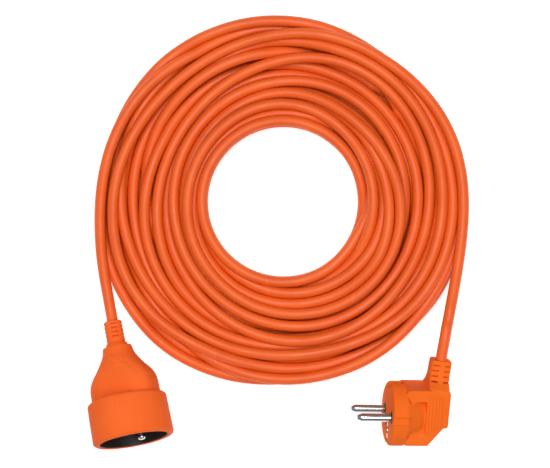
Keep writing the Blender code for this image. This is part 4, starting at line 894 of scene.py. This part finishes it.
def make_plug_body(material, place):
    """Flange, handle and angled strain relief in one moulding, hollow for what it holds."""
    edge = 1.8
    front = arc((FLANGE_RADIUS - edge, -edge), edge, 90 * DEG, 0, 10)
    flange = turned("plug_shell", [(0, 0)] + front + [
        (FLANGE_RADIUS, -8.6), (17.4, -10.0), (13.6, FLANGE_BACK),
        (0, FLANGE_BACK)], sides=160)
    relief = relief_bar("relief", RELIEF_ROWS)
    root = relief_bar("root", ROOT_ROWS)
    shell = combined(flange, [plug_handle(), relief, root], "UNION")
    room = rod("room", 14.2, -10.1, -1.5)
    holes = [rod("hole", 3.85, -3, 1, spot) for spot in CONTACTS]
    window = lofted("window", [(z, 3.6, 5.9, 3) for z in (-3, 1)])
    shifted(window, *EARTH_SPOT)
    grooves = [block("groove", (-2.6, low, -7.8), (2.6, low + 4.3, 1)) for low in (15.7, -20)]
    bore = along_relief(rod("bore", SHEATH_BORE, 2, PLUG_RELIEF_REACH + 3))
    tools = [room, *holes, window, *grooves, guide_notch(1), guide_notch(-1), bore]
    combined(shell, tools + plug_relief_slots(), "DIFFERENCE")
    pushed(softened(shell, SHELL_GRAIN, SHELL_PASSES), handle_relief)
    return dressed(shell, place, material, "cord_set", "plug_body")


def make_plug_bridge(material, place):
    """Black bridge behind the face, with a collar that stands round each pin."""
    disc = turned("bridge", [(0, BRIDGE_FRONT), (13.6, BRIDGE_FRONT),
                             (13.9, BRIDGE_FRONT - 0.3), (13.9, BRIDGE_BACK),
                             (0, BRIDGE_BACK)])
    collars = []
    for spot in CONTACTS:
        collar = turned("collar", [(0, -2.5), (3.7, -2.5), (3.7, 0.1),
                                   (3.4, 0.35), (0, 0.35)], 64)
        collars.append(shifted(collar, *spot))
    combined(disc, collars, "UNION")
    sleeve = rod("sleeve", 3.5, -11, 0, EARTH_SPOT)
    bore = PIN_DIAMETER / 2 + 0.05
    combined(disc, [sleeve] + [rod("pin", bore, -11, 2, spot) for spot in CONTACTS],
             "DIFFERENCE")
    return dressed(disc, place, material, "cord_set", "plug_bridge")


def make_earth_strip(material, place):
    """Spring strip: a bowed side contact in each groove and the web behind the bridge."""
    half, thick = Vector((2.3, 0, 0)), 0.6
    way = [(15.6, -10.6), (16.0, -9.0), (16.3, -7.0), (17.3, -5.0), (17.3, -3.4), (16.6, -1.6)]
    run = [(-y, z) for y, z in reversed(way)] + [(0, -10.6)] + way
    points = [Vector((0, y, z)) for y, z in run]
    rings = []
    for k, point in enumerate(points):
        ahead = (points[min(k + 1, len(points) - 1)] - points[max(k - 1, 0)]).normalized()
        across = Vector((0, -ahead.z, ahead.y)) * thick / 2
        rings.append([point + across - half, point + across + half,
                      point - across + half, point - across - half])
    strip = skinned("earth_spring", rings)
    combined(strip, [rod("crimp", CRIMP_RADIUS, -15.4, -10.5)], "UNION")
    return dressed(strip, place, material, "cord_set", "earth_strip")


def make_pin(node, spot, material, place):
    """Round pin with a coned end."""
    radius = PIN_DIAMETER / 2
    profile = [(0, PIN_TIP), (0.75, PIN_TIP)]
    profile += arc((0.9, PIN_TIP - 0.5), 0.5, 70 * DEG, 30 * DEG, 3)
    profile += [(radius - 0.15, PIN_TIP - 2.1), (radius, PIN_TIP - 2.6),
                (radius, BRIDGE_BACK), (CRIMP_RADIUS, BRIDGE_BACK), (CRIMP_RADIUS, -14.2),
                (0, -14.2)]
    pin = shifted(turned("plug_" + node, profile), *spot)
    return dressed(pin, place, material, "cord_set", node)


def make_earth_plate(material, place):
    """Plate in the face's window, with the sleeve for a socket's earth pin."""
    plate = lofted("earth_plate", [(-1.3, 2.8, 5.4, 3), (-0.6, 2.8, 5.4, 3), (-0.5, 2.7, 5.3, 3)])
    shifted(plate, *EARTH_SPOT)
    combined(plate, [rod("sleeve", 3.2, -9.5, -1.0, EARTH_SPOT)], "UNION")
    flare = turned("flare", [(0, -11), (2.6, -11), (2.6, -0.9),
                             (3.0, -0.4), (3.0, 0), (0, 0)], 64)
    combined(plate, [shifted(flare, *EARTH_SPOT)], "DIFFERENCE")
    return dressed(plate, place, material, "cord_set", "earth_contact")


# --- Stage ---

CAMERA_PLACE, CAMERA_LENS, CAMERA_SENSOR = (0.003264, 0.087328, 1.6), 178.05, 36
# Each lamp's name, place, width and power, and the spot that all of them face.
LIGHTS = (("key", (-0.2, 0.45, 1.95), 0.8, 22), ("fill", (0.4, -0.3, 1.95), 1.0, 14))
LIT_SPOT = (0, 0.09, 0)
SKY_LOW, SKY_HIGH, SKY_STRENGTH = 0.12, 1.0, 0.46
FLAG_PLACE, FLAG_AIM = (0.04, -1.01, 0.83), (0.04, -0.12, 0.03)
FLOOR_PLACE = Vector((0, 0.1, -0.0004))
# The floor glows a little by itself, though not under the ring: the radii where this fades.
FLOOR_GLOW, GLOW_INSIDE, GLOW_OUTSIDE = 0.4, (0.044, 0.050), (0.100, 0.108)
# Under the ring its colour is painted orange, as painted bounce light from the cord, so that gaps
# between the strands don't show as grey specks.
BOUNCE_PAINT_INSIDE, BOUNCE_PAINT_OUTSIDE = (0.0495, 0.0525), (0.0985, 0.1010)


def make_floor():
    bm = bmesh.new()
    bmesh.ops.create_grid(bm, x_segments=1, y_segments=1, size=6)
    data = bpy.data.meshes.new("floor")
    bm.to_mesh(data)
    bm.free()
    floor = added("floor", data)
    floor.location = FLOOR_PLACE
    paint = Paint("pale_floor", specular=0.1)
    paint.put("Roughness", paint.between(paint.noise(40, 3), 0.55, 0.7))
    paint.grained((paint.noise(300, 2), 0.00001))
    paint.shader.inputs["Emission Color"].default_value = (1, 1, 1, 1)
    distance = paint.nodes.new("ShaderNodeVectorMath")
    distance.operation = "DISTANCE"
    distance.inputs[1].default_value = (RING_CENTRE.x, RING_CENTRE.y - FLOOR_PLACE.y, 0)
    paint.link(paint.place, distance.inputs[0])
    reach = distance.outputs["Value"]
    paint.put("Emission Strength", paint.reckoned(
        "ADD", paint.between(reach, FLOOR_GLOW, 0, *GLOW_INSIDE),
        paint.between(reach, 0, FLOOR_GLOW, *GLOW_OUTSIDE)))
    # Painted bounce light: the floor's colour under the ring is painted orange, as light bounced
    # from the cord, and shows in the gaps between strands.
    bounce_paint_share = paint.reckoned("MULTIPLY", paint.between(reach, 0, 1, *BOUNCE_PAINT_INSIDE),
                           paint.between(reach, 1, 0, *BOUNCE_PAINT_OUTSIDE))
    pale = paint.shades(paint.noise(3, 3), (0.4, (0.92, 0.92, 0.92, 1)),
                        (0.6, (0.94, 0.94, 0.94, 1)))
    painted_bounce = paint.shades(paint.noise(90, 3), (0.4, srgb(205, 88, 36)), (0.6, srgb(216, 98, 42)))
    paint.put("Base Color", paint.mixed(bounce_paint_share, pale, painted_bounce))
    data.materials.append(paint.material)


def aimed(obj, place, target):
    """Set the object at its place, its front towards the target."""
    obj.location = place
    aim = Vector(target) - Vector(place)
    obj.rotation_euler = aim.to_track_quat("-Z", "Y").to_euler()


def make_sky():
    """Soft light from above that falls off towards the horizon."""
    world = bpy.data.worlds.new("studio")
    bpy.context.scene.world = world
    world.use_nodes = True
    nodes, link = world.node_tree.nodes, world.node_tree.links.new
    place = nodes.new("ShaderNodeTexCoord")
    split = nodes.new("ShaderNodeSeparateXYZ")
    link(place.outputs["Generated"], split.inputs["Vector"])
    fall = nodes.new("ShaderNodeValToRGB")
    levels = ((0.05, SKY_LOW), (0.95, SKY_HIGH))
    for element, (position, level) in zip(fall.color_ramp.elements, levels):
        element.position, element.color = position, (level, level, level, 1)
    link(split.outputs["Z"], fall.inputs["Fac"])
    link(fall.outputs["Color"], nodes["Background"].inputs["Color"])
    nodes["Background"].inputs["Strength"].default_value = SKY_STRENGTH


def make_flag():
    """A narrow dark card beside the lights, which the bright pins show as a line."""
    card = block("flag", (-800, -50, -2), (800, 50, 2))
    aimed(card, FLAG_PLACE, FLAG_AIM)
    dark, darker = srgb(20, 20, 20), srgb(14, 14, 14)
    card.data.materials.append(plastic("flag", dark, darker, 0.8, 300, 0.00001, 0.5))


def make_stage():
    """Floor, sky, lamps, and a camera straight above, as the photograph was taken."""
    make_floor()
    make_sky()
    make_flag()
    for name, place, size, power in LIGHTS:
        light = bpy.data.lights.new(name, "AREA")
        light.shape = "DISK"
        light.size = size
        light.energy = power
        aimed(added(name, light), place, LIT_SPOT)
    camera = bpy.data.cameras.new("camera")
    camera.sensor_width = CAMERA_SENSOR
    camera.lens = CAMERA_LENS
    camera.clip_end = 30
    eye = added("camera", camera)
    eye.location = CAMERA_PLACE
    bpy.context.scene.camera = eye
    bpy.context.scene.view_settings.view_transform = "Standard"


# --- Putting it together ---

materials = make_materials()
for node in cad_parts.values():
    old = node.data.materials[0].name.split(".")[0]
    if old in materials:
        node.data.materials[0] = materials[old]

socket, plug = socket_place(), plug_place()
make_socket_body(materials["orange_pvc"], socket)
make_socket_insert(materials["black_plastic"], socket)
make_earth_pin(materials["nickel_plated"], socket)
plug_shell = make_plug_body(materials["plug_pvc"], plug)
make_plug_bridge(materials["black_plastic"], plug)
pins = [make_pin(node, spot, materials["nickel_plated"], plug)
        for node, spot in zip(("upper_pin", "lower_pin"), CONTACTS)]
plate = make_earth_plate(materials["nickel_plated"], plug)
make_earth_strip(materials["nickel_plated"], plug)

cord, points = make_cord(materials["cord_sheath"])
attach(cord, "cord_set")
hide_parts("cord_coil", "socket_lead", "plug_lead")
make_stage()
